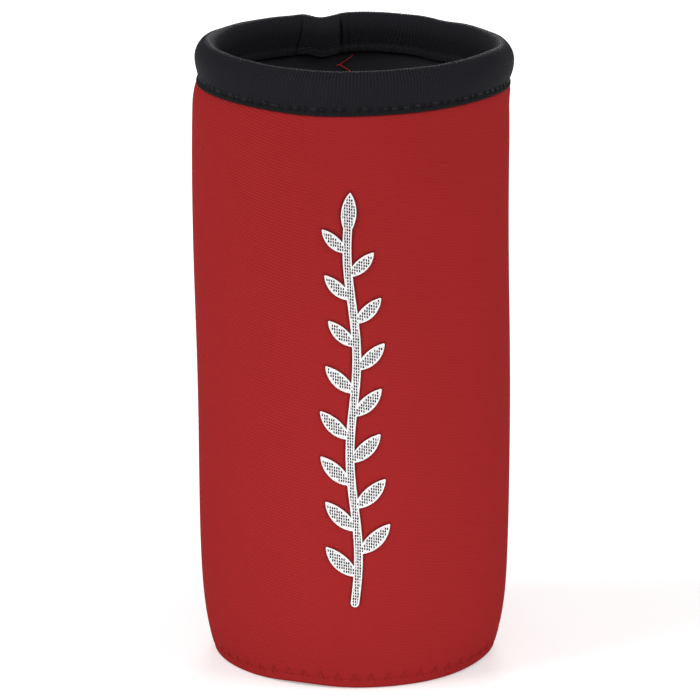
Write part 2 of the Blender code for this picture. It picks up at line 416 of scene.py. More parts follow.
@dataclass(frozen=True)
class KnitFinish:
    """A jersey knit bonded to foam: fine courses of small loops, matt, running askew and slightly bowed,
    with painted shade in the furrows between courses.
    """

    name: str
    colour: tuple[int, int, int]
    course: float = 0.65 * MM
    wale: float = 0.48 * MM
    wale_share: float = 0.25
    slant: float = 10.5
    bow: float = 0.8
    middle: float = 101.3 * MM
    depth: float = 0.03 * MM
    shade: float = 0.26
    fuzz_scale: float = 5200.0
    fuzz_share: float = 0.4
    mottle_scale: float = 90.0
    mottle: float = 0.06
    roughness: float = 0.9
    gloss: float = 0.02

    def material(self) -> bpy.types.Material:
        """Builds the finish from the cloth's own coordinates; the third says how plainly courses show, in
        bump and in painted shade between them.
        """
        tree = ShaderTree(self.name)
        parts = tree.cloth()
        slope = math.tan(math.radians(self.slant))
        aside = tree.math("SUBTRACT", parts[0], self.middle)
        bowed = tree.math("MULTIPLY", tree.math("MULTIPLY", aside, aside), -self.bow)
        across = tree.math("ADD", parts[1], tree.math("MULTIPLY_ADD", parts[0], slope, bowed))
        along = tree.math("SUBTRACT", parts[0], tree.math("MULTIPLY", parts[1], slope))
        course = tree.math("SINE", tree.math("MULTIPLY", across, 2 * math.pi / self.course))
        wale = tree.math("SINE", tree.math("MULTIPLY", along, 2 * math.pi / self.wale))
        loops = tree.math("MULTIPLY", tree.math("MULTIPLY_ADD", wale, self.wale_share, course), parts[2])
        fuzz = tree.math("SUBTRACT", tree.noise(self.fuzz_scale, 2.0), 0.5)
        relief = tree.math("MULTIPLY_ADD", fuzz, self.fuzz_share, loops)
        bump = tree.node("Bump", Strength=1.0, Distance=self.depth, Height=relief)
        slow = tree.math("SUBTRACT", tree.noise(self.mottle_scale, 3.0), 0.5)
        # Painted shade: the furrows between courses are darker, as strongly as the cloth's third coordinate
        # says.
        painted_course_shade = tree.math("MULTIPLY", tree.math("MULTIPLY", course, parts[2]), self.shade / 2)
        bright = tree.math("ADD", tree.math("ADD", painted_course_shade, 1.0), tree.math("MULTIPLY", slow, self.mottle))
        tree.dress(self.colour, bright, bump)
        tree.constant(Roughness=self.roughness, Specular_IOR_Level=self.gloss)
        return tree.material


@dataclass(frozen=True)
class RibFinish:
    """The binding's ribbed knit: loops along each rib, painted shade in the furrows between ribs and in the
    stitch pits, and a soft nap.
    """

    name: str
    colour: tuple[int, int, int]
    # How dark the painted shade in the furrows between ribs is.
    furrow_shade: float
    rib: float = 0.626 * MM
    loop: float = 0.45 * MM
    slant: float = 0.0
    depth: float = 0.03 * MM
    fuzz_scale: float = 4600.0
    fuzz_share: float = 0.8
    pit_shade: float = 0.72
    roughness: float = 0.5
    gloss: float = 0.006
    nap: float = 0.005
    nap_roughness: float = 0.3
    nap_tint: tuple[float, float, float, float] = (0.8, 0.8, 0.85, 1.0)

    def material(self) -> bpy.types.Material:
        """Builds the finish from the strip's own coordinates.

        The third says how strongly the ribs show, in bump and in painted furrow shade, and below nothing
        how much painted shade darkens a stitch's pit.
        """
        tree = ShaderTree(self.name)
        parts = tree.cloth()
        turn = math.radians(self.slant)
        along = tree.math(
            "ADD",
            tree.math("MULTIPLY", parts[0], math.cos(turn)),
            tree.math("MULTIPLY", parts[1], math.sin(turn)),
        )
        across = tree.math(
            "SUBTRACT",
            tree.math("MULTIPLY", parts[1], math.cos(turn)),
            tree.math("MULTIPLY", parts[0], math.sin(turn)),
        )
        ribs = tree.math("COSINE", tree.math("MULTIPLY", along, 2 * math.pi / self.rib))
        leg = tree.math("ABSOLUTE", tree.math("SINE", tree.math("MULTIPLY", along, math.pi / self.rib)))
        shift = tree.math("MULTIPLY_ADD", leg, self.loop * 0.5, across)
        loops = tree.math("SINE", tree.math("MULTIPLY", shift, 2 * math.pi / self.loop))
        fuzz = tree.math("SUBTRACT", tree.noise(self.fuzz_scale, 2.0), 0.5)
        relief = tree.math("MULTIPLY_ADD", fuzz, self.fuzz_share, loops)
        bump = tree.node("Bump", Strength=1.0, Distance=self.depth, Height=relief)
        # Painted shade: darker furrows between ribs, and darker stitch pits where the third coordinate is
        # below nothing.
        plain = tree.math("MULTIPLY", tree.math("MAXIMUM", parts[2], 0.0), self.furrow_shade)
        pitted = tree.math("MULTIPLY_ADD", tree.math("MINIMUM", parts[2], 0.0), self.pit_shade, 1.0)
        bright = tree.math("MULTIPLY_ADD", tree.math("MULTIPLY", ribs, 0.5), plain, pitted)
        tree.dress(self.colour, bright, bump)
        tree.constant(
            Roughness=self.roughness, Specular_IOR_Level=self.gloss, Sheen_Weight=self.nap,
            Sheen_Roughness=self.nap_roughness, Sheen_Tint=self.nap_tint,
        )
        return tree.material


@dataclass(frozen=True)
class ThreadFinish:
    """Twisted sewing thread, with fine filaments and a soft sheen."""

    name: str
    colour: tuple[int, int, int]
    roughness: float = 0.6
    gloss: float = 0.1
    sheen: float = 0.02
    variation: float = 0.2
    strand_scale: float = 9000.0
    strand_depth: float = 0.02 * MM
    strand_strength: float = 0.6

    def material(self) -> bpy.types.Material:
        """Builds the finish from object coordinates."""
        tree = ShaderTree(self.name)
        strands = tree.noise(self.strand_scale, 2.0)
        bright = tree.math("MULTIPLY_ADD", strands, self.variation, 1 - self.variation / 2)
        bump = tree.node(
            "Bump", Strength=self.strand_strength, Distance=self.strand_depth, Height=strands
        )
        tree.dress(self.colour, bright, bump)
        tree.constant(Roughness=self.roughness, Specular_IOR_Level=self.gloss, Sheen_Weight=self.sheen)
        return tree.material


def sewn_thread_tree() -> bpy.types.NodeTree:
    """A tree that turns a path of edges into a thread of twisted plies."""
    tree = GeometryTree(
        "Sewn Thread",
        {
            "Radius": ("Float", 0.15 * MM),
            "Twist Length": ("Float", 1.1 * MM),
            "Segment": ("Float", 0.14 * MM),
            "Plies": ("Int", 2),
            "Ply Depth": ("Float", 0.22),
            "Sides": ("Int", 8),
            "Finish": ("Material", None),
        },
    )
    path = tree.node("GeometryNodeMeshToCurve", Mesh=tree.given["Geometry"])
    even = tree.node(
        "GeometryNodeResampleCurve", {"mode": "LENGTH"}, Curve=path.outputs[0],
        Length=tree.given["Segment"],
    )
    run = tree.node("GeometryNodeSplineParameter").outputs["Length"]
    turns = tree.math("DIVIDE", run, tree.given["Twist Length"])
    tilt = tree.math("MULTIPLY", turns, 2 * math.pi)
    twisted = tree.node("GeometryNodeSetCurveTilt", Curve=even.outputs[0], Tilt=tilt)
    ring = tree.node(
        "GeometryNodeCurvePrimitiveCircle", {"mode": "RADIUS"}, Resolution=tree.given["Sides"],
        Radius=tree.given["Radius"],
    )
    place = tree.node("GeometryNodeInputPosition").outputs[0]
    parts = tree.node("ShaderNodeSeparateXYZ", Vector=place).outputs
    angle = tree.math("ARCTAN2", parts[1], parts[0])
    lobes = tree.math("COSINE", tree.math("MULTIPLY", angle, tree.given["Plies"]))
    moved = tree.node(
        "ShaderNodeVectorMath", {"operation": "SCALE"}, i0=place,
        Scale=tree.math("MULTIPLY", lobes, tree.given["Ply Depth"]),
    )
    lobed = tree.node("GeometryNodeSetPosition", Geometry=ring.outputs[0], Offset=moved.outputs[0])
    swept = tree.node(
        "GeometryNodeCurveToMesh", Curve=twisted.outputs[0], Profile_Curve=lobed.outputs[0]
    )
    swept.inputs["Fill Caps"].default_value = True
    return tree.end(swept.outputs[0])


def stitch_row_tree() -> bpy.types.NodeTree:
    """A tree that sets a short bowed stitch on each vertex, turned and stretched by its attributes."""
    tree = GeometryTree(
        "Stitch Row",
        {
            "Radius": ("Float", 0.14 * MM),
            "Bow": ("Float", 0.2 * MM),
            "Flatness": ("Float", 1.0),
            "Segments": ("Int", 7),
            "Sides": ("Int", 6),
            "End Slimming": ("Float", 0.45),
            "Finish": ("Material", None),
        },
    )
    line = tree.node(
        "GeometryNodeCurvePrimitiveLine", {"mode": "POINTS"}, Start=(-0.5, 0.0, 0.0),
        End=(0.5, 0.0, 0.0),
    )
    fine = tree.node(
        "GeometryNodeResampleCurve", {"mode": "COUNT"}, Curve=line.outputs[0],
        Count=tree.given["Segments"],
    )
    factor = tree.node("GeometryNodeSplineParameter").outputs["Factor"]
    off_middle = tree.math("MULTIPLY_ADD", factor, 2.0, -1.0)
    square = tree.math("MULTIPLY", off_middle, off_middle)
    sunk = tree.math("MULTIPLY", tree.math("MULTIPLY", square, square), tree.given["Bow"])
    drop = tree.node("ShaderNodeCombineXYZ", Z=tree.math("MULTIPLY", sunk, -1.0))
    bowed = tree.node("GeometryNodeSetPosition", Geometry=fine.outputs[0], Offset=drop.outputs[0])
    slimming = tree.math("MULTIPLY", tree.math("POWER", square, 3.0), tree.given["End Slimming"])
    slim = tree.math("SUBTRACT", 1.0, slimming)
    thinned = tree.node("GeometryNodeSetCurveRadius", Curve=bowed.outputs[0], Radius=slim)
    ring = tree.node(
        "GeometryNodeCurvePrimitiveCircle", {"mode": "RADIUS"}, Resolution=tree.given["Sides"],
        Radius=tree.given["Radius"],
    )
    swept = tree.node(
        "GeometryNodeCurveToMesh", Curve=thinned.outputs[0], Profile_Curve=ring.outputs[0],
        Scale=slim,
    )
    swept.inputs["Fill Caps"].default_value = True
    flat = tree.node("ShaderNodeCombineXYZ", X=1.0, Y=1.0, Z=tree.given["Flatness"])
    pressed = tree.node("GeometryNodeTransform", Geometry=swept.outputs[0], Scale=flat.outputs[0])
    turn = tree.node(
        "GeometryNodeInputNamedAttribute", {"data_type": "FLOAT_VECTOR"}, Name="turn"
    ).outputs[0]
    stretch = tree.node(
        "GeometryNodeInputNamedAttribute", {"data_type": "FLOAT_VECTOR"}, Name="stretch"
    ).outputs[0]
    rotation = tree.node("FunctionNodeEulerToRotation", Euler=turn)
    points = tree.node("GeometryNodeMeshToPoints", Mesh=tree.given["Geometry"])
    rows = tree.node(
        "GeometryNodeInstanceOnPoints", Points=points.outputs[0], Instance=pressed.outputs[0],
        Rotation=rotation.outputs[0], Scale=stretch,
    )
    return tree.end(rows.outputs[0])


def rib_tree() -> bpy.types.NodeTree:
    """A tree that raises fine ribs along the cloth's own coordinates, where its third one allows."""
    tree = GeometryTree(
        "Knit Ribs",
        {
            "Pitch": ("Float", 0.626 * MM),
            "Height": ("Float", 0.05 * MM),
            "Slant": ("Float", 0.0),
            "Finish": ("Material", None),
        },
    )
    place = tree.node(
        "GeometryNodeInputNamedAttribute", {"data_type": "FLOAT_VECTOR"}, Name=CLOTH
    ).outputs[0]
    parts = tree.node("ShaderNodeSeparateXYZ", Vector=place).outputs
    along = tree.math(
        "ADD",
        tree.math("MULTIPLY", parts[0], tree.math("COSINE", tree.given["Slant"])),
        tree.math("MULTIPLY", parts[1], tree.math("SINE", tree.given["Slant"])),
    )
    phase = tree.math("DIVIDE", tree.math("MULTIPLY", along, 2 * math.pi), tree.given["Pitch"])
    wave = tree.math("MULTIPLY", tree.math("COSINE", phase), tree.given["Height"])
    normal = tree.node("GeometryNodeInputNormal").outputs[0]
    lift = tree.node(
        "ShaderNodeVectorMath", {"operation": "SCALE"}, i0=normal,
        Scale=tree.math("MULTIPLY", wave, tree.math("MAXIMUM", parts[2], 0.0)),
    )
    ribbed = tree.node(
        "GeometryNodeSetPosition", Geometry=tree.given["Geometry"], Offset=lift.outputs[0]
    )
    return tree.end(ribbed.outputs[0])


@dataclass
class Workshop:
    """The trees and finishes that the sub-assemblies share."""

    form: SleeveForm = field(default_factory=SleeveForm)

    def __post_init__(self) -> None:
        """Makes each tree and finish once."""
        self.thread_tree = sewn_thread_tree()
        self.stitch_tree = stitch_row_tree()
        self.rib_tree = rib_tree()
        self.red_knit = KnitFinish("red_knit", (159, 40, 41)).material()
        self.black_knit = KnitFinish(
            "black_knit", (51, 50, 54), shade=0.06, depth=0.008 * MM
        ).material()
        self.black_rib = RibFinish("black_rib", (36, 36, 40), furrow_shade=0.7).material()
        # The lap's finish is a lighter copy of the binding's: painted light that lifts the shaded far lap.
        self.patch_rib_painted_light = RibFinish(
            "black_patch_rib", (40, 39, 42), rib=0.5 * MM, slant=45.0, furrow_shade=0.6
        ).material()
        self.black_thread = ThreadFinish("black_thread", (37, 40, 41)).material()
        self.edge_thread = ThreadFinish("edge_thread", (27, 30, 29), gloss=0.04, sheen=0.0).material()
        self.lining_thread = ThreadFinish("lining_thread", (39, 39, 42), gloss=0.04, sheen=0.0).material()
        self.red_thread = ThreadFinish("red_thread", (190, 60, 60)).material()
        self.foot_thread = ThreadFinish("foot_thread", (152, 38, 39), gloss=0.04, sheen=0.0).material()
        self.white_thread = ThreadFinish("white_thread", (252, 252, 252), variation=0.02).material()
        # The near-black under thread is painted shade, showing in the needle pits of the white fill.
        self.pit_shade_thread = ThreadFinish("pit_shade_thread", (14, 14, 18), gloss=0.02, sheen=0.0).material()

    def thread(
        self, name: str, path: Array, radius: float, finish: bpy.types.Material, closed: bool = False
    ) -> bpy.types.Object:
        """Sews one thread along a path.

        Args:
            name: The piece's name.
            path: Points by x, y, z.
            radius: The thread's radius.
            finish: Its material.
            closed: Whether the path's end joins its start.

        Returns:
            The thread as a plain mesh.
        """
        count = len(path)
        edges = [(i, i + 1) for i in range(count - 1)] + ([(count - 1, 0)] if closed else [])
        mesh = bpy.data.meshes.new(name)
        mesh.from_pydata(path.tolist(), edges, [])
        return grown(
            link(mesh, name + "_path"), self.thread_tree, {"Radius": radius, "Finish": finish}, name
        )

    def stitches(
        self,
        name: str,
        frames: list[tuple[Vector, Vector, Vector]],
        lengths: Sequence[float],
        finish: bpy.types.Material,
        values: dict[str, object],
        widths: Sequence[float] | None = None,
    ) -> bpy.types.Object:
        """Lays a row of separate stitches.

        Args:
            name: The piece's name.
            frames: Each stitch's middle, its direction and the surface's outward direction there.
            lengths: Each stitch's length.
            finish: The material.
            values: Further inputs of the stitch tree.
            widths: Each stitch's breadth against the others', where they differ.

        Returns:
            The stitches as one plain mesh.
        """
        mesh = bpy.data.meshes.new(name)
        mesh.from_pydata([tuple(middle) for middle, _, _ in frames], [], [])
        turns, spans = [], []
        for (_, run, out), length, width in zip(frames, lengths, widths or [1.0] * len(lengths)):
            x = run.normalized()
            y = out.cross(x).normalized()
            z = x.cross(y)
            turns.append(tuple(Matrix((x, y, z)).transposed().to_euler()))
            spans.append((length, width, 1.0))
        for label, rows in (("turn", turns), ("stretch", spans)):
            layer = mesh.attributes.new(label, "FLOAT_VECTOR", "POINT")
            layer.data.foreach_set("vector", np.array(rows, np.float32).ravel())
        host = link(mesh, name + "_points")
        return grown(host, self.stitch_tree, {"Finish": finish, **values}, name)


def surface_frame(
    at: Callable[[float, float], Vector], u: float, v: float, step: float = 1e-4
) -> tuple[Vector, Vector, Vector]:
    """A surface's point and its two unit directions at (u, v), by small steps of its own coordinates."""
    here = at(u, v)
    along = (at(u + step, v) - at(u - step, v)).normalized()
    up = (at(u, v + step) - at(u, v - step)).normalized()
    return here, along, up


@dataclass(frozen=True)
class Leaf:
    """A pointed leaf of the flat design: the overlap of two discs that pass through its root and tip."""

    root: tuple[float, float]
    angle: float
    length: float
    bulges: tuple[float, float]

    def discs(self) -> list[tuple[Array, Array, Array, float]]:
        """Each disc's centre, the direction its edge bulges in, the leaf's direction and its radius."""
        turn = math.radians(self.angle)
        along = np.array([math.sin(turn), math.cos(turn)])
        aside = np.array([along[1], -along[0]])
        middle = np.array(self.root) + along * self.length / 2
        found = []
        for bulge, out in zip(self.bulges, (aside, -aside)):
            radius = (self.length**2 / 4 + bulge**2) / (2 * bulge)
            found.append((middle - out * (radius - bulge), out, along, radius))
        return found

    def inside(self, across: Array, up: Array) -> Array:
        """How far points lie inside the leaf, in metres, negative outside."""
        first, second = (r - np.hypot(across - c[0], up - c[1]) for c, _, _, r in self.discs())
        return np.minimum(first, second)

    def edges(self, spacing: float) -> list[Array]:
        """Both edges from root to tip, as rows of points across and up."""
        found = []
        for centre, out, along, radius in self.discs():
            half = math.asin(self.length / 2 / radius)
            turns = np.linspace(-half, half, max(4, round(2 * half * radius / spacing)))[:, None]
            found.append(centre + radius * (np.cos(turns) * out + np.sin(turns) * along))
        return found


@dataclass
class Embroidery:
    """A leafy sprig in white thread down the front: upright fill stitches inside a corded edge."""

    shop: Workshop
    azimuth: float = FRONT
    low: float = 18.5 * MM
    high: float = 103.9 * MM
    stem: float = 0.72 * MM
    sway: float = 0.8 * MM
    sway_length: float = 42.0 * MM
    nodes: int = 15
    leaf_length: float = 8.6 * MM
    leaf_bulges: tuple[float, float] = (1.75, 1.15)
    leaf_angle: float = 47.0
    leaf_ends: tuple[float, float] = (6.5 * MM, 12.0 * MM)
    taper: float = 0.24
    taper_power: float = 1.5
    tip_length: float = 8.4 * MM
    tip_angle: float = 4.0
    tip_bulge: float = 1.35 * MM
    tip_stem: float = 2.0 * MM
    column: float = 0.23 * MM
    column_widths: tuple[float, float] = (0.93, 1.2)
    fill_share: float = 0.51
    stitch: float = 0.61 * MM
    long_stitches: int = 3
    pit: float = 0.45 * MM
    butt: float = 0.02 * MM
    end_stitch: float = 0.25 * MM
    shortest: float = 0.08 * MM
    scan: float = 0.03 * MM
    under_stitch: float = 2.5 * MM
    under_shortest: float = 0.3 * MM
    under_stand: float = 0.03 * MM
    row_slant: float = 10.5
    stand: float = 0.24 * MM
    margin: float = 0.09 * MM
    cord: float = 0.16 * MM
    cord_spacing: float = 0.36 * MM
    cord_clear: float = 0.04 * MM
    cord_sink: float = 0.03 * MM
    cord_overlap: float = 1.5

    def __post_init__(self) -> None:
        """Sets the leaves along the stem, left and right in turn, smaller towards the top."""
        first, last = self.low + self.leaf_ends[0], self.high - self.leaf_ends[1]
        self.leaves = []
        for i in range(self.nodes):
            share = i / (self.nodes - 1)
            up = first + (last - first) * share
            side = 1 if i % 2 else -1
            size = 1.0 - self.taper * share**self.taper_power
            bulges = tuple(bulge * size * MM for bulge in self.leaf_bulges[::side])
            root = (float(self.stem_at(up)), up)
            self.leaves.append(Leaf(root, side * self.leaf_angle, self.leaf_length * size, bulges))
        top = self.high - self.tip_length
        root = (float(self.stem_at(top)), top)
        self.leaves.append(Leaf(root, self.tip_angle, self.tip_length, (self.tip_bulge, self.tip_bulge)))
        self.stem_top = top + self.tip_stem

    def stem_at(self, up: Array) -> Array:
        """How far across the swaying stem's middle is at a height."""
        return self.sway * np.sin((np.asarray(up) - self.low) * 2 * math.pi / self.sway_length)

    def in_stem(self, across: Array, up: Array) -> Array:
        """How far points lie inside the stem, in metres, negative outside."""
        clear = np.clip(up, self.low + self.stem, self.stem_top)
        return self.stem - np.hypot(across - self.stem_at(clear), up - clear)

    def inside(self, across: Array, up: Array) -> Array:
        """How far points of the flat design lie inside its shapes, in metres, negative outside."""
        across, up = np.broadcast_arrays(across, up)
        best = self.in_stem(across, up)
        for leaf in self.leaves:
            best = np.maximum(best, leaf.inside(across, up))
        return best

    def at(self, across: float, up: float) -> Vector:
        """A point of the flat design on the wall's surface."""
        form = self.shop.form
        turn = math.degrees(across / form.body_radius)
        return Vector(form.settled(form.outline(up), self.azimuth + turn, up))

    def frame(self, across: float, up: float, stand: float) -> tuple[Vector, Vector, Vector]:
        """A stitch's middle, its upward run and the outward direction there."""
        here, along, rise = surface_frame(self.at, across, up)
        out = along.cross(rise).normalized()
        return here + out * stand, rise, out

    def runs(self) -> list[tuple[int, float, float, float]]:
        """Upright runs of fill: the column's number, its place across, and its low and high end."""
        half = self.leaf_length * math.sin(math.radians(self.leaf_angle)) + 4 * self.sway
        reach = int(half / self.column) + 1
        ups = np.arange(self.low - MM, self.high + MM, self.scan)
        found = []
        for i in range(-reach, reach + 1):
            across = i * self.column
            filled = self.inside(across, ups) > self.margin
            ends = np.flatnonzero(np.diff(filled.astype(int)))
            found += [(i, across, ups[a + 1], ups[b]) for a, b in zip(ends[::2], ends[1::2])]
        return found

    def spans(self, number: int, across: float, low: float, high: float) -> list[tuple[float, float]]:
        """Splits a run into stitches. Every second column leaves a pit at each row of needle holes."""
        pitted = number % 2 != 0
        step = self.stitch if pitted else self.long_stitches * self.stitch
        gap = self.pit if pitted else self.butt
        offset = -across * math.tan(math.radians(self.row_slant))
        offset = offset + (number // 2 % self.long_stitches) * self.stitch
        first, last = math.ceil((low - offset) / step), math.floor((high - offset) / step)
        cuts = [offset + k * step for k in range(first, last + 1)]
        cuts = [cut for cut in cuts if min(cut - low, high - cut) > self.end_stitch]
        starts = [low] + [cut + gap / 2 for cut in cuts]
        ends = [cut - gap / 2 for cut in cuts] + [high]
        return list(zip(starts, ends))

    def cords(self) -> tuple[list[tuple[Vector, Vector, Vector]], list[float]]:
        """Short overlapping stitches along the design's outer edge, and their lengths."""
        spacing = self.cord_spacing
        ups = np.arange(self.low + self.stem, self.stem_top, spacing)
        sides = [np.stack([self.stem_at(ups) + way * self.stem, ups], axis=1) for way in (1, -1)]
        turns = np.linspace(0, math.pi, 7)[:, None]
        foot = np.array([self.stem_at(ups[0]), ups[0]]) + self.stem * np.concatenate(
            [np.cos(turns), -np.sin(turns)], axis=1
        )
        rows = [(None, row) for row in [*sides, foot]]
        rows += [(leaf, row) for leaf in self.leaves for row in leaf.edges(spacing)]
        frames, lengths = [], []
        for owner, row in rows:
            for first, last in zip(row[:-1], row[1:]):
                across, up = (first + last) / 2
                others = [leaf.inside(across, up) for leaf in self.leaves if leaf is not owner]
                if owner is not None:
                    others.append(self.in_stem(across, up))
                if max(others) > self.cord_clear:
                    continue
                middle, rise, out = self.frame(across, up, self.stand - self.cord_sink)
                aside = out.cross(rise) * float(last[0] - first[0])
                run = aside * -1 + rise * float(last[1] - first[1])
                frames.append((middle, run, out))
                lengths.append(run.length * self.cord_overlap)
        return frames, lengths

    def build(self) -> list[bpy.types.Object]:
        """Lays the near-black underlay, painted shade that shows in the needle pits, the white fill over it
        and the corded edge round that.
        """
        fill, fill_lengths, fill_widths, under, under_lengths = [], [], [], [], []
        for number, across, low, high in self.runs():
            pieces = max(1, math.ceil((high - low) / self.under_stitch))
            if number % 2 and high - low > self.under_shortest:
                length = (high - low) / pieces
                for k in range(pieces):
                    under.append(self.frame(across, low + length * (k + 0.5), self.under_stand))
                    under_lengths.append(length)
            for start, end in self.spans(number, across, low, high):
                if end - start > self.shortest:
                    fill.append(self.frame(across, (start + end) / 2, self.stand))
                    fill_lengths.append(end - start)
                    fill_widths.append(self.column_widths[number % 2])
        shop = self.shop
        below = shop.stitches(
            "sprig_pit_shade_underlay", under, under_lengths, shop.pit_shade_thread,
            {"Radius": self.column, "Bow": 0.0, "Flatness": 0.3, "Segments": 3},
        )
        top = shop.stitches(
            "sprig_stitches", fill, fill_lengths, shop.white_thread,
            {"Radius": self.column * self.fill_share, "Bow": 0.10 * MM, "Flatness": 0.5, "Segments": 6},
            fill_widths,
        )
        frames, lengths = self.cords()
        edge = shop.stitches(
            "sprig_edge", frames, lengths, shop.white_thread,
            {"Radius": self.cord, "Bow": 0.02 * MM, "Flatness": 1.0, "Segments": 4, "Sides": 7},
        )
        log.info("embroidery: %d fill and %d edge stitches", len(fill), len(frames))
        return [below, top, edge]


@dataclass(frozen=True)
class Wave:
    """A slow wave of slack in soft cloth: its turns round the sleeve, its climb, start and share."""

    turns: int
    climb: float
    start: float
    share: float

    def at(self, turn: Array, height: Array) -> Array:
        """The wave's value at an azimuth in radians and a height in metres."""
        return np.sin(self.turns * turn + self.climb * height + self.start) * self.share


@dataclass(frozen=True)
class Crease:
    """A crease in soft cloth: its azimuth at a level, its depth, its turn with distance, its breadth."""

    azimuth: float
    depth: float
    slant: float
    width: float
    level: float = 0.0

    def at(self, azimuth: Array, along: Array) -> Array:
        """How far it presses in, at an azimuth and a distance along the cloth."""
        middle = self.azimuth - self.slant * (along - self.level)
        return self.depth * bell(azimuth_away(azimuth, middle), self.width)


@dataclass
class Wall:
    """The rolled wall: red-faced foam, butted at the back seam, and its black lining."""

    shop: Workshop
    sprig: Embroidery
    seam_columns: int = 16
    seam_span: float = 8.0
    column: float = 1.8
    front_column: float = 0.5
    front_span: float = 16.0
    row: float = 0.5 * MM
    # How plainly the courses show, in bump and painted shade: stronger on the left of the front, where the
    # light rakes across them.
    course_relief_and_shade_middle: float = 0.26
    course_relief_and_shade_left: float = 0.92
    top: float = 126.0 * MM
    foot_rows: tuple[float, ...] = (0.03, 0.2, 0.4, 0.6, 0.8, 1.0, 1.2, 1.4, 1.6, 1.9, 2.3, 2.9, 3.5)
    body_rows: tuple[float, float] = (4.3 * MM, 117.9 * MM)
    neck_rows: tuple[float, ...] = (
        118.4, 118.8, 119.1, 119.3, 119.45, 119.6, 119.8, 120.1, 120.6, 121.6, 123.5, 125.0,
    )
    inner_rows: int = 14
    lip_roll: float = 0.42 * MM
    lip_reach: float = 0.45 * MM
    valley: float = 0.16 * MM
    valley_reach: float = 1.9 * MM
    hole_depth: float = 0.22 * MM
    hole_reach: tuple[float, float] = (0.5 * MM, 0.45 * MM)
    hole_span: float = 1.6 * MM
    foot_groove: float = 0.08 * MM
    foot_groove_reach: float = 0.4 * MM
    slack: tuple[Wave, ...] = (Wave(2, 40, 0.6, 0.06), Wave(3, -75, 2.1, 0.05), Wave(5, 120, 4.0, 0.03))
    slack_foot: tuple[float, float] = (8 * MM, 25 * MM)
    slack_head: tuple[float, float] = (118 * MM, 106 * MM)
    crease: Crease = Crease(322.5, 0.14 * MM, 60.0, 2.2, 0.1)
    crease_height: float = 101 * MM
    crease_reach: float = 9 * MM
    sewn_groove: float = 0.4 * MM
    sewn_reach: tuple[float, float] = (-0.7 * MM, -0.1 * MM)
    zigzag_pitch: float = 3.5 * MM
    zigzag_half: float = 1.3 * MM
    zigzag_top: float = 119.1 * MM
    zigzag_foot: float = 4.4 * MM
    inside_shift: float = -0.45 * MM
    inside_tail: float = 1.0 * MM
    thread: float = 0.13 * MM
    base_pitch_count: int = 54
    mark_half: float = 0.22
    mark_depth: float = 0.055 * MM
    mark_low: float = 1.75 * MM
    mark_high: float = 3.55 * MM

    def azimuths(self) -> Array:
        """Stations from one lip of the back seam round to the other, closer together beside it."""
        form = self.shop.form
        lip = math.degrees(0.008 * MM / form.body_radius)
        front = self.sprig.azimuth - form.back_seam
        near = np.linspace(0.0, self.seam_span, self.seam_columns)
        left = np.arange(self.seam_span, front - self.front_span, self.column)[1:]
        middle = np.arange(front - self.front_span, front + self.front_span, self.front_column)
        right = np.arange(front + self.front_span, 360 - self.seam_span, self.column)
        away = np.concatenate([near, left, middle, right, 360 - near[::-1]])
        return form.back_seam + np.clip(away, lip, 360 - lip)

    def zigzag_heights(self) -> tuple[Array, Array]:
        """Heights of the back seam's needle holes from the top, and the side of the seam of each."""
        count = int((self.zigzag_top - self.zigzag_foot) / (self.zigzag_pitch / 2))
        heights = self.zigzag_top - np.arange(count) * self.zigzag_pitch / 2
        return heights, np.where(np.arange(count) % 2 == 0, -1.0, 1.0)

    def mark_relief(self, azimuth: Array, height: Array) -> Array:
        """How deep the base seam's peaked marks press in."""
        step = 360.0 / self.base_pitch_count
        turn = (azimuth_away(azimuth, FRONT) + step / 2) % step - step / 2
        aside = np.radians(turn) * self.shop.form.outline(3.0 * MM)
        share = np.clip((self.mark_high - height) / (self.mark_high - self.mark_low), 0.0, 1.0)
        foot = math.radians(step * self.mark_half) * float(self.shop.form.outline(3.0 * MM))
        leg = bell(np.abs(aside) - foot * share, 0.28 * MM)
        return leg * eased(self.mark_low - 0.5 * MM, self.mark_low, height) * (
            1 - eased(self.mark_high, self.mark_high + 0.5 * MM, height)
        )

    def seam_relief(self, azimuth: Array, height: Array) -> Array:
        """How far the back seam and its needle holes pull the face in."""
        form = self.shop.form
        beside = np.radians(azimuth_away(azimuth, form.back_seam)) * form.body_radius
        inward = self.lip_roll * np.exp(-np.abs(beside) / self.lip_reach)
        inward = inward + self.valley * bell(beside, self.valley_reach)
        wide, high = self.hole_reach
        for hole, side in zip(*self.zigzag_heights()):
            near = np.abs(height - hole) < self.hole_span
            spot = bell(beside - side * self.zigzag_half, wide) * bell(height - hole, high)
            inward = inward + np.where(near, self.hole_depth * spot, 0.0)
        return inward

    def relief(self, azimuth: Array, height: Array) -> Array:
        """How far the outer face is pressed in, in metres, at each azimuth and height."""
        form = self.shop.form
        above = np.maximum(height - form.seam_height, 0.0)
        inward = self.seam_relief(azimuth, height)
        inward = inward + self.foot_groove * np.exp(-above / self.foot_groove_reach)
        inward = inward + self.mark_depth * self.mark_relief(azimuth, height)
        slack = sum(wave.at(np.radians(azimuth), height) for wave in self.slack)
        slack = slack * MM * eased(*self.slack_foot, height) * eased(*self.slack_head, height)
        crease = self.crease.at(azimuth, height) * bell(height - self.crease_height, self.crease_reach)
        inward = inward + slack + crease
        across = np.radians(azimuth_away(azimuth, self.sprig.azimuth)) * form.body_radius
        return inward + self.sewn_groove * eased(*self.sewn_reach, self.sprig.inside(across, height))

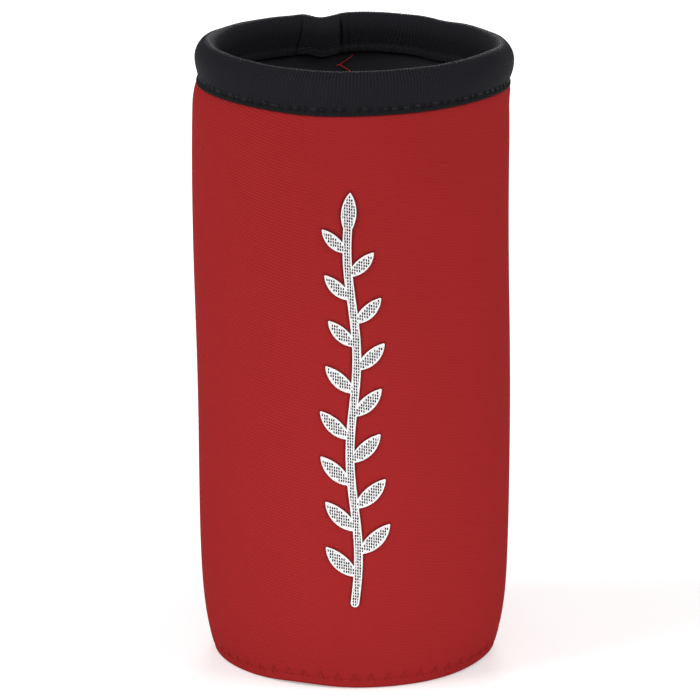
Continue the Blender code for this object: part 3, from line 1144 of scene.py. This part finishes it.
    def build_facing(self) -> bpy.types.Object:
        """Builds the red-faced foam wall."""
        form = self.shop.form
        foot = form.seam_height + np.array(self.foot_rows) * MM
        body = np.arange(form.seam_height + self.body_rows[0], self.body_rows[1], self.row)
        outside = np.concatenate([foot, body, np.array(self.neck_rows) * MM, [self.top]])
        inside = np.linspace(self.top, form.seam_height + 1.1 * MM, self.inner_rows)
        azimuth = self.azimuths()[:, None]
        radius = form.outline(outside)[None] - self.relief(azimuth, outside[None])
        core = form.inner(inside) + form.laminate - form.facing
        radii = np.concatenate([radius, np.broadcast_to(core, (len(azimuth), len(core)))], axis=1)
        heights = np.broadcast_to(np.concatenate([outside, inside]), radii.shape)
        points = form.settled(radii, azimuth, heights)
        along = np.radians(azimuth - form.back_seam) * form.body_radius
        aside = azimuth_away(azimuth, self.sprig.azimuth)
        # Painted shade between courses, stronger on the left of the front where the light rakes.
        plain = self.course_relief_and_shade_middle + (self.course_relief_and_shade_left - self.course_relief_and_shade_middle) * (
            eased(2.0, -32.0, aside) * eased(-150.0, -80.0, aside)
        )
        cloth = np.stack(np.broadcast_arrays(along, heights, plain), axis=-1)
        return shell("wall_facing", points, cloth, self.shop.red_knit)

    def build_lining(self) -> bpy.types.Object:
        """Builds the black knit lining inside the wall."""
        form = self.shop.form
        low, high = [3.1, 3.6, 4.4, 5.5, 7.0, 9.0], [116.5, 118.0, 119.5, 121.0, 123.0]
        rise = np.concatenate([low, np.arange(12.0, 116.0, 4.0), high]) * MM
        azimuth = form.back_seam + np.concatenate(
            [np.linspace(0, 4, 9)[:-1], np.linspace(4, 356, 100)[:-1], np.linspace(356, 360, 9)[:-1]]
        )[:, None]
        beside = np.radians(azimuth_away(azimuth, form.back_seam)) * form.body_radius
        inner = form.inner(rise)[None] + 0.22 * MM * np.exp(-np.abs(beside) / (0.4 * MM))
        outer = np.broadcast_to(form.inner(rise) + form.laminate - form.facing - 0.02 * MM, inner.shape)
        radii = np.concatenate([outer, inner[:, ::-1]], axis=1)
        heights = np.broadcast_to(np.concatenate([rise, rise[::-1]]), radii.shape)
        points = form.settled(radii, azimuth, heights)
        along = np.radians(azimuth - form.back_seam) * form.inner(60 * MM)
        cloth = np.stack(np.broadcast_arrays(along, heights, 1.0), axis=-1)
        return shell("wall_knit_lining", points, cloth, self.shop.black_knit, around=True)

    def seam_point(self, side: Side, across: float, height: float, sunk: float) -> Array:
        """A point of the back seam's stitching, on either face of the wall."""
        form = self.shop.form
        turn = math.degrees(across / form.body_radius)
        azimuth = form.back_seam + turn
        if side is Side.OUTSIDE:
            base = form.outline(height) - self.relief(np.array(azimuth), np.array(height))
            radius = base - sunk
        else:
            radius = form.inner(height) + sunk
            azimuth = azimuth + math.degrees(self.inside_shift / form.body_radius)
        return form.settled(radius, azimuth, height)

    def build_seam(self, side: Side) -> bpy.types.Object:
        """Sews the red zigzag up the back seam on one face; inside, each left turn has a short tail."""
        heights, sides = self.zigzag_heights()
        path = []
        for hole, lean in zip(heights, sides):
            at = lean * self.zigzag_half
            reach = 0.0 if lean < 0 else self.inside_tail
            if side is Side.OUTSIDE:
                near = at * 0.93
                stops = (
                    (near, 0.12 * MM, -0.05 * MM), (at, 0.0, 0.30 * MM), (near, -0.12 * MM, -0.05 * MM),
                    (0.0, -self.zigzag_pitch / 4, -0.10 * MM),
                )
            else:
                stops = (
                    (at, 0.08 * MM, -0.14 * MM), (at + reach * 0.7, 0.03 * MM, -0.12 * MM),
                    (at + reach, 0.0, 0.25 * MM), (at + reach * 0.7, -0.03 * MM, -0.12 * MM),
                    (at, -0.08 * MM, -0.14 * MM),
                )
            path += [self.seam_point(side, across, hole + rise, sunk) for across, rise, sunk in stops]
        name = "back_seam_thread" if side is Side.OUTSIDE else "back_seam_thread_inside"
        return self.shop.thread(name, np.array(path), self.thread, self.shop.red_thread)


@dataclass
class Base:
    """The base disc with its turned-up edge, its lining and the zigzag that sews it to the wall."""

    shop: Workshop
    wall: Wall
    columns: int = 216
    lining_columns: int = 96
    corner_width: float = 1.0 * MM
    corner_height: float = 0.9 * MM
    disc: float = 2.0 * MM
    lining: float = 3.0 * MM
    lip: float = 2.1 * MM
    plain_radius: float = 27 * MM
    thread: float = 0.12 * MM
    inner_stops: tuple[tuple[float, float, float], ...] = (
        (0.0, 26.95, 4.6), (0.08, 26.75, 4.4), (0.25, 26.35, 3.6), (0.42, 25.6, 3.12),
        (0.5, 25.4, 2.85), (0.58, 25.6, 3.12), (0.75, 26.35, 3.6), (0.92, 26.75, 4.4),
    )

    def turned(
        self, name: str, radius: Array, height: Array, columns: int, finish: bpy.types.Material,
        plain_radius: float = math.inf,
    ) -> bpy.types.Object:
        """Turns a section round the axis.

        Args:
            name: The piece's name.
            radius: The section's distances from the axis.
            height: Its heights.
            columns: Stations round.
            finish: The material.
            plain_radius: How far out the knit's courses show, in bump and painted shade; beyond it the flat
                cloth is stretched plain.

        Returns:
            The solid.
        """
        azimuth = np.linspace(0, 360, columns + 1)[:-1, None]
        radii = np.broadcast_to(radius, (columns, len(radius)))
        points = self.shop.form.settled(radii, azimuth, np.broadcast_to(height, radii.shape))
        plain = np.where(radii > plain_radius, 0.1, 1.0)
        cloth = np.stack([points[..., 0], points[..., 1], plain], axis=-1)
        return shell(name, points, cloth, finish, around=True)

    def build_disc(self) -> bpy.types.Object:
        """Builds the red-faced foam disc."""
        form = self.shop.form
        corner_radius = float(form.outline(self.corner_height))
        angles = np.radians(np.linspace(0, 90, 9))
        flat = np.array([0.0, 6, 12, 17, 21, 24, 26.3]) * MM
        radius = np.concatenate([flat, corner_radius - self.corner_width * (1 - np.sin(angles))])
        height = np.concatenate([np.zeros(len(flat)), self.corner_height * (1 - np.cos(angles))])
        rise = np.array([1.2, 1.5, 1.75, 1.92, 2.0]) * MM
        wall = self.wall
        groove = wall.foot_groove * np.exp(-(form.seam_height - rise) / wall.foot_groove_reach)
        radius = np.concatenate([radius, form.outline(rise) - groove])
        height = np.concatenate([height, rise])
        lip = float(form.outline(form.seam_height)) - self.lip
        radius = np.concatenate([radius, [lip, lip - 0.6 * MM, 20 * MM, 0.0]])
        height = np.concatenate([height, [2.7 * MM, self.disc, self.disc, self.disc]])
        return self.turned(
            "base_facing", radius, height, self.columns, self.shop.red_knit, self.plain_radius
        )

    def build_lining(self) -> bpy.types.Object:
        """Builds the black lining of the base, slightly rounded at its edge."""
        form = self.shop.form
        edge = float(form.outline(form.seam_height)) - form.laminate + 0.15 * MM
        radius = np.array([0, 12 * MM, 22 * MM, edge, edge, edge - 0.2 * MM, 22 * MM, 12 * MM, 0])
        top, low = self.lining, self.disc + 0.05 * MM
        height = np.array([low, low, low, low, top - 0.2 * MM, top, top, top, top])
        return self.turned("base_knit_lining", radius, height, self.lining_columns, self.shop.black_knit)

    def stops(self, side: Side) -> list[tuple[float, float, float]]:
        """The places of one zigzag: each one's share of the pitch, radius and height."""
        if side is Side.INSIDE:
            return [(share, radius * MM, height * MM) for share, radius, height in self.inner_stops]
        wall, half = self.wall, self.wall.mark_half
        high, low = wall.mark_high, wall.mark_low
        middle, under = (high + low) / 2, low - 0.1 * MM
        points = (
            (0.0, high, 0.02), (half * 0.5, middle, 0.04), (half, low, 0.06), (half + 0.04, under, 0.45),
            (0.5, low, 0.6), (0.96 - half, under, 0.45), (1.0 - half, low, 0.06),
            (1.0 - half * 0.5, middle, 0.04),
        )
        outline = self.shop.form.outline
        return [
            (share, float(outline(height)) - wall.mark_depth - (sunk - 0.04) * MM, height)
            for share, height, sunk in points
        ]

    def build_seam(self, side: Side) -> bpy.types.Object:
        """Sews the zigzag round the base seam, on the outside or in the inner corner."""
        step = 360.0 / self.wall.base_pitch_count
        path = [
            self.shop.form.settled(radius, FRONT + i * step + share * step, height)
            for i in range(self.wall.base_pitch_count)
            for share, radius, height in self.stops(side)
        ]
        name = "base_seam_thread" if side is Side.OUTSIDE else "base_seam_thread_inside"
        finish = self.shop.foot_thread if side is Side.OUTSIDE else self.shop.red_thread
        return self.shop.thread(name, np.array(path), self.thread, finish, closed=True)


@dataclass(frozen=True)
class SewnRow:
    """How a row of stitches presses cloth in: along its line and at its holes, in millimetres."""

    line: float
    line_reach: float
    hole: float
    hole_reach: float

    def at(self, aside: Array, hole: Array) -> Array:
        """The press at a distance from the line, where hole is 1 at a needle hole and 0 far off."""
        pressed = self.line * bell(aside, self.line_reach)
        return pressed + self.hole * hole * bell(aside, self.hole_reach)


@dataclass
class RimBinding:
    """The folded ribbed strip over the rim, its lapped ends and the stitch line through both legs."""

    shop: Workshop
    thickness: float = 0.8 * MM
    selvedge: float = 0.5 * MM
    selvedge_reach: float = 1.2 * MM
    roll_width: float = 4.95 * MM
    roll_rise: float = 3.65 * MM
    roll_radius: float = 29.9 * MM
    slimness: float = 1.2
    outer_drop: float = 8.6 * MM
    inner_drop: float = 8.0 * MM
    outer_stitch_drop: float = 7.45 * MM
    inner_stitch_drop: float = 6.4 * MM
    outer_nip: float = 0.65 * MM
    inner_nip: float = 0.3 * MM
    nip_reach: float = 2.0 * MM
    outer_row: SewnRow = SewnRow(0.13, 0.45 * MM, 0.38, 0.38 * MM)
    inner_row: SewnRow = SewnRow(0.05, 0.5 * MM, 0.12, 0.4 * MM)
    hole_reach: float = 0.42 * MM
    # The dent depth at which a needle hole gets its full painted shade.
    full_pit_shade_depth: float = 0.45 * MM
    lumps: tuple[Wave, ...] = (Wave(5, 0, 1.0, 0.05), Wave(9, 0, 2.6, 0.045), Wave(17, 0, 0.0, 0.03))
    raw_edge: float = 0.12 * MM
    raw_edge_reach: float = 0.2 * MM
    creases: tuple[Crease, ...] = (
        Crease(95.7, 0.6 * MM, 0.0, 0.9),
        Crease(93.0, 0.3 * MM, 0.12, 0.6),
        Crease(90.4, 0.18 * MM, 0.3, 0.6),
        Crease(87.0, 0.1 * MM, 0.75, 0.8, 5.0),
        Crease(84.0, 0.09 * MM, 0.75, 0.8, 5.0),
        Crease(80.5, 0.08 * MM, 0.75, 0.8, 5.0),
        Crease(76.0, 0.06 * MM, 0.75, 0.8, 5.0),
    )
    ribs_round: int = 300
    rib_height: float = 0.03 * MM
    fan: float = 0.42
    skew: float = 0.16
    skew_azimuth: float = 238.0
    skew_reach: float = 24.0
    holes_round: int = 98
    long_share: float = 0.6
    unevenness: float = 0.12
    most_uneven: float = 0.2
    stitch_inset: float = 0.17
    stitch_askew: tuple[float, float] = (0.12, 0.09)
    stitch_wander: float = 0.07
    stitch_sunk: float = 0.04 * MM
    most_sunk: float = 0.36
    most_sunk_on_lap: float = 0.06
    edge_wraps: int = 440
    wrap_tilt: float = 0.06
    wrap_wander: float = 0.06
    strip_from: float = 100.0
    strip_to: float = 469.0
    under_lap: float = 0.42 * MM
    patch_slant: float = 38.0
    patch_edge: float = 1.1
    patch_drop: tuple[float, float] = (0.36, 0.30)
    patch_proud: float = 0.02
    crown_reach: float = 2.2
    seed: int = 7

    def __post_init__(self) -> None:
        """Lays out the fold's section, and measures along it."""
        crest, half = self.shop.form.crest, self.roll_width / 2
        self.rib = 2 * math.pi * self.roll_radius / self.ribs_round
        down = np.linspace(self.outer_drop, self.roll_rise, 60)
        nip = self.outer_nip * bell(down - self.outer_stitch_drop, self.nip_reach)
        outer = self.roll_radius + half - nip
        angle = np.linspace(0, math.pi, 160)[1:-1]
        back = np.linspace(self.roll_rise, self.inner_drop, 50)
        nip = self.inner_nip * bell(back - self.inner_stitch_drop, self.nip_reach)
        inner = self.roll_radius - half + nip
        across = np.sign(np.cos(angle)) * np.abs(np.cos(angle)) ** self.slimness
        self.radius = np.concatenate([outer, self.roll_radius + half * across, inner])
        arch = crest - self.roll_rise + self.roll_rise * np.sin(angle)
        self.height = np.concatenate([crest - down, arch, crest - back])
        steps = np.hypot(np.diff(self.radius), np.diff(self.height))
        self.run = np.concatenate([[0.0], np.cumsum(steps)])
        slope_r, slope_z = np.gradient(self.radius, self.run), np.gradient(self.height, self.run)
        self.into_r, self.into_z = -slope_z, slope_r
        self.length = float(self.run[-1])
        self.top = float(self.run[np.argmax(self.height)])
        self.outer_line = float(self.run[np.argmin(np.abs(down - self.outer_stitch_drop))])
        inner_at = len(self.run) - len(back) + int(np.argmin(np.abs(back - self.inner_stitch_drop)))
        self.inner_line = float(self.run[inner_at])
        self.holes = self.hole_azimuths()

    def hole_azimuths(self) -> Array:
        """Azimuths of the needle holes: long and short stitches in turn, not quite even."""
        chance = np.random.default_rng(self.seed)
        shares = np.tile([self.long_share, 1 - self.long_share], self.holes_round // 2)
        stray = chance.normal(0.0, self.unevenness, self.holes_round)
        shares = shares + stray.clip(-self.most_uneven, self.most_uneven)
        return np.cumsum(shares) / shares.sum() * 360.0

    def placed(self, azimuth: Array, run: Array, depth: Array) -> Array:
        """Places points of the fold by azimuth, distance along its section and depth under its surface."""
        azimuth, run, depth = np.broadcast_arrays(azimuth, run, depth)
        radius = np.interp(run, self.run, self.radius) + np.interp(run, self.run, self.into_r) * depth
        height = np.interp(run, self.run, self.height) + np.interp(run, self.run, self.into_z) * depth
        return self.shop.form.settled(radius, azimuth, height)

    def line_dents(self, azimuth: Array, run: Array) -> Array:
        """How far both stitch lines and their needle holes press the strip in."""
        nearest = np.min(np.abs(azimuth_away(azimuth[..., None], self.holes)), axis=-1)
        hole = bell(np.radians(nearest) * self.roll_radius, self.hole_reach)
        outside = self.outer_row.at(run - self.outer_line, hole)
        inside = self.inner_row.at(run - self.inner_line, hole)
        return (outside + inside) * MM

    def dents(self, azimuth: Array, run: Array) -> Array:
        """How far stitches, creases and handling press the long strip in at each place."""
        turn = np.radians(azimuth)
        inward = self.line_dents(azimuth, run)
        lumps = sum(wave.at(turn, 0.0) for wave in self.lumps)
        inward = inward + lumps * MM * bell(run - self.length * 0.45, 6 * MM)
        ends = np.exp(-run / self.raw_edge_reach) + np.exp(-(self.length - run) / self.raw_edge_reach)
        inward = inward + self.raw_edge * ends
        inner_leg = eased(self.top + 1.2 * MM, self.top + 3.2 * MM, run)
        low = (run - self.top) / MM
        for crease in self.creases:
            inward = inward + crease.at(azimuth, low) * inner_leg
        return inward

    def lean(self, azimuth: Array, run: Array) -> Array:
        """How far the ribs are pulled aside at each place: fanned beside the lap, and on the left front."""
        from_top = run - self.top
        turn = azimuth_away(azimuth, 0.0)
        fan = self.fan * eased(97.0, 93.0, turn) * eased(60.0, 80.0, turn)
        skew = self.skew * bell(azimuth_away(azimuth, self.skew_azimuth), self.skew_reach)
        return fan * np.maximum(from_top, 0.0) + skew * np.minimum(from_top, 0.0)

    def section_runs(self) -> Array:
        """Distances along the fold for the mesh, closest together at the stitch lines."""
        near = np.array([-0.9, -0.6, -0.35, -0.15, 0.0, 0.15, 0.35, 0.6, 0.9]) * MM
        between = np.linspace(self.outer_line + 1.4 * MM, self.inner_line - 1.1 * MM, 20)
        ends = np.array([0.0, 0.15 * MM, self.length - 0.15 * MM, self.length])
        runs = np.concatenate([ends, self.outer_line + near, between, self.inner_line + near[1:-1]])
        return np.unique(np.clip(runs, 0.0, self.length))

    def strip(
        self, name: str, azimuth: Array, face: Array, under: float, slant: float,
        finish: bpy.types.Material,
    ) -> bpy.types.Object:
        """Builds a length of ribbed strip round the rim.

        Args:
            name: The piece's name.
            azimuth: Stations along it by places along its section, in degrees.
            face: The visible face's depth at each of them.
            under: The hidden face's depth, as a share of the strip's thickness.
            slant: The ribs' turn, in degrees.
            finish: Its material.

        Returns:
            The strip as a plain mesh.
        """
        runs = self.section_runs()
        hidden = np.linspace(self.length, 0.0, 7)
        reach = self.selvedge_reach
        thin = np.exp(-hidden / reach) + np.exp(-(self.length - hidden) / reach)
        thick = under * (self.thickness - (self.thickness - self.selvedge) * thin)
        below = np.stack([np.interp(hidden, runs, row) for row in azimuth])
        stations = np.concatenate([azimuth, below], axis=1)
        depth = np.concatenate([face, np.broadcast_to(thick, below.shape)], axis=1)
        all_runs = np.concatenate([runs, hidden])[None]
        points = self.placed(stations, all_runs, depth)
        along = np.radians(stations - self.strip_from) * self.roll_radius - self.lean(stations, all_runs)
        # Painted shade in the rib furrows, strongest just outside the crest and down the inner leg.
        crown = (runs - self.top) / MM
        seen = 0.35 + 0.65 * bell(crown + 1.3, 1.7) + 0.4 * eased(0.5, 2.5, crown)
        painted_rib_shade = np.concatenate([seen.clip(0, 1), np.zeros(len(hidden))])
        painted_rib_shade[[0, len(runs) - 1]] = 0.1
        # Painted shade in the needle holes, as deep as the stitch lines press in.
        painted_pit_shade = (self.line_dents(stations, all_runs) / self.full_pit_shade_depth).clip(0, 1)
        painted_pit_shade = np.where(np.arange(all_runs.shape[1]) < len(runs), painted_pit_shade, 0.0)
        cloth = np.stack(np.broadcast_arrays(along, all_runs, painted_rib_shade * (1 - painted_pit_shade) - painted_pit_shade), axis=-1)
        plain = shell(name, points, cloth, finish)
        values = {
            "Pitch": self.rib, "Height": self.rib_height, "Slant": math.radians(slant), "Finish": finish,
        }
        return grown(plain, self.shop.rib_tree, values, name)

    def build_strip(self) -> bpy.types.Object:
        """Builds the long strip, whose two ends sink under the lap."""
        ribs = round(math.radians(self.strip_to - self.strip_from) * self.roll_radius / self.rib)
        runs = self.section_runs()
        azimuth = np.linspace(self.strip_from, self.strip_to, ribs * 6 + 1)[:, None]
        azimuth = np.broadcast_to(azimuth, (len(azimuth), len(runs)))
        right, left = self.lap_borders(runs[None])
        inside = np.minimum(azimuth_away(azimuth, right), -azimuth_away(azimuth, left))
        early = 1.7 * (1 - bell((runs[None] - self.top) / MM, self.crown_reach))
        face = self.under_lap * eased(0.2, 1.8, inside + early) + self.dents(azimuth, runs[None])
        return self.strip("binding_strip", azimuth, face, 1.0, 0.0, self.shop.black_rib)

    def lap_borders(self, run: Array) -> tuple[Array, Array]:
        """The azimuths of the lap's right and left edge at a distance along the fold."""
        form = self.shop.form
        low = np.clip((run - self.top) / MM, -4.0, 8.0)
        return np.full_like(low, form.lap_start + 0.3), form.lap_end - 2.4 + 0.55 * low

    def build_patch(self) -> bpy.types.Object:
        """Builds the lapped end over the join: slanting ribs, a slanting left edge, rounded under."""
        runs = self.section_runs()
        share = np.linspace(0.0, 1.0, 170)[:, None]
        right, left = self.lap_borders(runs[None])
        azimuth = right + (left - right) * share
        edge = np.minimum(azimuth - right, left - azimuth)
        rounded = 1 - np.sqrt(1 - (1 - np.clip(edge / self.patch_edge, 0, 1)) ** 2)
        deep, crown = self.patch_drop
        flush = deep - crown * bell((runs[None] - self.top) / MM, self.crown_reach)
        face = (self.patch_proud + flush * rounded) * MM + self.line_dents(azimuth, runs[None])
        return self.strip("binding_lap", azimuth, face, 0.5, self.patch_slant, self.shop.patch_rib_painted_light)

    def stitch_frame(
        self, first: Vector, last: Vector, azimuth: float, run: float, sunk: float
    ) -> tuple[Vector, Vector, Vector]:
        """A stitch's middle, its run from first to last and the fold's outward direction there."""
        middle = Vector(self.placed(azimuth, run, sunk))
        deeper = Vector(self.placed(azimuth, run, 0.5 * MM))
        return middle, last - first, middle - deeper

    def build_topstitch(self, side: Side) -> bpy.types.Object:
        """Lays the stitch line on one leg of the fold, each stitch a little askew between its holes."""
        form = self.shop.form
        line = self.outer_line if side is Side.OUTSIDE else self.inner_line
        chance = np.random.default_rng(self.seed + side.value)
        frames, lengths = [], []
        for start, end in zip(self.holes, np.append(self.holes[1:], self.holes[0] + 360.0)):
            askew = chance.normal(*self.stitch_askew) * MM
            shift = chance.normal(0.0, self.stitch_wander) * MM
            inset = self.stitch_inset * (end - start)
            first = Vector(self.placed(start + inset, line + shift + askew, 0.0))
            last = Vector(self.placed(end - inset, line + shift - askew, 0.0))
            on_lap = form.lap_start < (start + end) / 2 < form.lap_end
            most = self.most_sunk_on_lap if on_lap else self.most_sunk
            sunk = self.stitch_sunk + most * MM * chance.random()
            frames.append(self.stitch_frame(first, last, (start + end) / 2, line + shift, sunk))
            lengths.append((last - first).length)
        outside = side is Side.OUTSIDE
        name = "rim_topstitch" if outside else "rim_topstitch_inside"
        finish = self.shop.black_thread if outside else self.shop.edge_thread
        values = {"Radius": 0.15 * MM, "Bow": 0.32 * MM, "Segments": 9, "Sides": 8}
        return self.shop.stitches(name, frames, lengths, finish, values)

    def build_edge_wraps(self, side: Side) -> bpy.types.Object:
        """Lays one leg's overlocked edge: short upright threads wrapped over the strip's raw edge."""
        outside = side is Side.OUTSIDE
        chance = np.random.default_rng(self.seed + 3 - side.value)
        edge = 0.02 * MM if outside else self.length - 0.02 * MM
        inner_end = self.outer_line - 0.35 * MM if outside else self.inner_line + 0.3 * MM
        frames, lengths = [], []
        for i in range(self.edge_wraps):
            azimuth = 360.0 * (i + chance.normal(0.0, self.wrap_wander)) / self.edge_wraps
            tilt = chance.normal(self.wrap_tilt, self.wrap_wander)
            first = Vector(self.placed(azimuth - tilt, edge, 0.08 * MM))
            reach = inner_end + chance.normal(0.0, self.wrap_wander) * MM
            last = Vector(self.placed(azimuth + tilt, reach, 0.0))
            frames.append(self.stitch_frame(first, last, azimuth, (edge + inner_end) / 2, 0.02 * MM))
            lengths.append((last - first).length)
        name = "rim_edge_wraps" if outside else "rim_edge_wraps_inside"
        finish = self.shop.edge_thread if outside else self.shop.lining_thread
        return self.shop.stitches(
            name, frames, lengths, finish,
            {"Radius": 0.13 * MM, "Bow": 0.12 * MM, "Flatness": 0.7, "Segments": 6},
        )


@dataclass(frozen=True)
class Lamp:
    """A soft oblong lamp at a place, aimed at a point."""

    name: str
    place: tuple[float, float, float]
    power: float
    size: tuple[float, float]
    aim: tuple[float, float, float] = (0.0, 0.0, 0.065)

    def build(self) -> None:
        """Adds the lamp to the scene."""
        data = bpy.data.lights.new(self.name, "AREA")
        data.shape = "RECTANGLE"
        data.energy = self.power
        data.size, data.size_y = self.size
        lamp = bpy.data.objects.new(self.name, data)
        lamp.location = self.place
        lamp.rotation_euler = (Vector(self.aim) - Vector(self.place)).to_track_quat("-Z", "Y").to_euler()
        bpy.context.scene.collection.objects.link(lamp)


@dataclass(frozen=True)
class Studio:
    """A pale floor, a soft white surround, five lamps and the camera."""

    camera_distance: float = 895.6 * MM
    camera_height: float = 298.5 * MM
    camera_aside: float = -0.92 * MM
    pitch: float = 14.70
    focal_px: float = 4497.0
    frame_px: float = 700.0
    sensor: float = 36.0
    ambient: float = 0.29
    floor_size: float = 6.0
    floor_colour: tuple[float, float, float, float] = (0.92, 0.92, 0.92, 1.0)
    floor_lift: float = 0.37
    lamps: tuple[Lamp, ...] = (
        Lamp("key", (-1.29, -0.52, 1.16), 14.0, (0.9, 0.9)),
        Lamp("fill", (1.29, -0.52, 1.16), 10.0, (0.9, 0.9)),
        Lamp("front", (0.0, -1.45, 0.95), 2.0, (0.9, 0.6)),
        Lamp("rim", (0.1, 1.5, 0.62), 10.0, (0.5, 0.3), (0.0, 0.0, 0.128)),
        Lamp("foot", (0.0, -0.16, 0.02), 0.088, (0.34, 0.03), (0.0, -0.03, 0.012)),
    )

    def build_floor(self) -> bpy.types.Object:
        """Makes the pale floor, which shows white to the camera but for the sleeve's soft shadow."""
        half = self.floor_size / 2
        corners = [(-half, -half, 0.0), (half, -half, 0.0), (half, half, 0.0), (-half, half, 0.0)]
        mesh = bpy.data.meshes.new("floor")
        mesh.from_pydata(corners, [], [(0, 1, 2, 3)])
        tree = ShaderTree("pale_floor")
        tree.constant(Base_Color=self.floor_colour, Roughness=1.0, Specular_IOR_Level=0.0)
        lift = tree.node(
            "Emission", Color=WHITE,
            Strength=tree.math("MULTIPLY", tree.seen_directly(), self.floor_lift),
        )
        both = tree.node("AddShader", i0=tree.shader.outputs[0], i1=lift.outputs[0])
        out = tree.tree.nodes["Material Output"]
        tree.tree.links.new(both.outputs[0], out.inputs["Surface"])
        mesh.materials.append(tree.material)
        floor = link(mesh, "floor")
        return floor

    def build_world(self) -> None:
        """Makes the surround: white where it is seen, and a soft even light otherwise."""
        world = bpy.data.worlds.new("surround")
        bpy.context.scene.world = world
        world.use_nodes = True
        maker = TreeMaker(world.node_tree)
        back = maker.tree.nodes["Background"]
        back.inputs["Color"].default_value = WHITE
        strength = maker.node(
            "ShaderNodeMapRange", Value=maker.seen_directly(), To_Min=self.ambient, To_Max=1.0
        )
        maker.tree.links.new(strength.outputs[0], back.inputs["Strength"])

    def build_camera(self) -> None:
        """Places the camera where the photograph's outline puts it."""
        data = bpy.data.cameras.new("camera")
        data.sensor_width = self.sensor
        data.lens = self.focal_px / self.frame_px * self.sensor
        data.clip_start = 0.01
        camera = bpy.data.objects.new("camera", data)
        camera.location = (self.camera_aside, -self.camera_distance, self.camera_height)
        camera.rotation_euler = (math.radians(90 - self.pitch), 0.0, 0.0)
        bpy.context.scene.collection.objects.link(camera)
        bpy.context.scene.camera = camera

    def build(self) -> None:
        """Sets up the whole studio and the view transform."""
        self.build_floor()
        self.build_world()
        for lamp in self.lamps:
            lamp.build()
        self.build_camera()
        bpy.context.scene.view_settings.view_transform = "Standard"


def settle(piece: bpy.types.Object, slot: str, *nodes: str) -> None:
    """Makes a piece ride the sleeve, hides the CAD nodes that it stands for, and logs its triangle count
    and slot name.
    """
    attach(piece, BODY)
    if nodes:
        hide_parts(*nodes)
    mesh = piece.data
    mesh.calc_loop_triangles()
    log.info("%s: %d triangles, %s", piece.name, len(mesh.loop_triangles), slot)


def corners(box: tuple[Vector, Vector]) -> list[list[float]]:
    """A box's two corners as plain lists."""
    return [[float(value) for value in corner] for corner in box]


def main() -> None:
    """Builds the studio and the sleeve's sub-assemblies."""
    logging.basicConfig(level=logging.INFO, format="%(name)s: %(message)s")
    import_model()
    Studio().build()
    shop = Workshop()
    sprig = Embroidery(shop)
    wall = Wall(shop, sprig)
    base = Base(shop, wall)
    binding = RimBinding(shop)

    facing = wall.build_facing()
    settle(facing, "red_knit", "wall_panel")
    lining = wall.build_lining()
    settle(lining, "black_knit", "wall_lining")
    disc = base.build_disc()
    settle(disc, "red_knit", "base_disc")
    floor_lining = base.build_lining()
    settle(floor_lining, "black_knit", "base_lining")
    strip = binding.build_strip()
    settle(strip, "black_rib", "rim_binding")
    lap = binding.build_patch()
    settle(lap, "black_rib")
    for side in Side:
        settle(binding.build_edge_wraps(side), "black_thread")
        settle(binding.build_topstitch(side), "black_thread")
        settle(wall.build_seam(side), "red_thread")
        settle(base.build_seam(side), "red_thread")
    for piece in sprig.build():
        settle(piece, "white_thread")


if __name__ == "__main__":
    main()
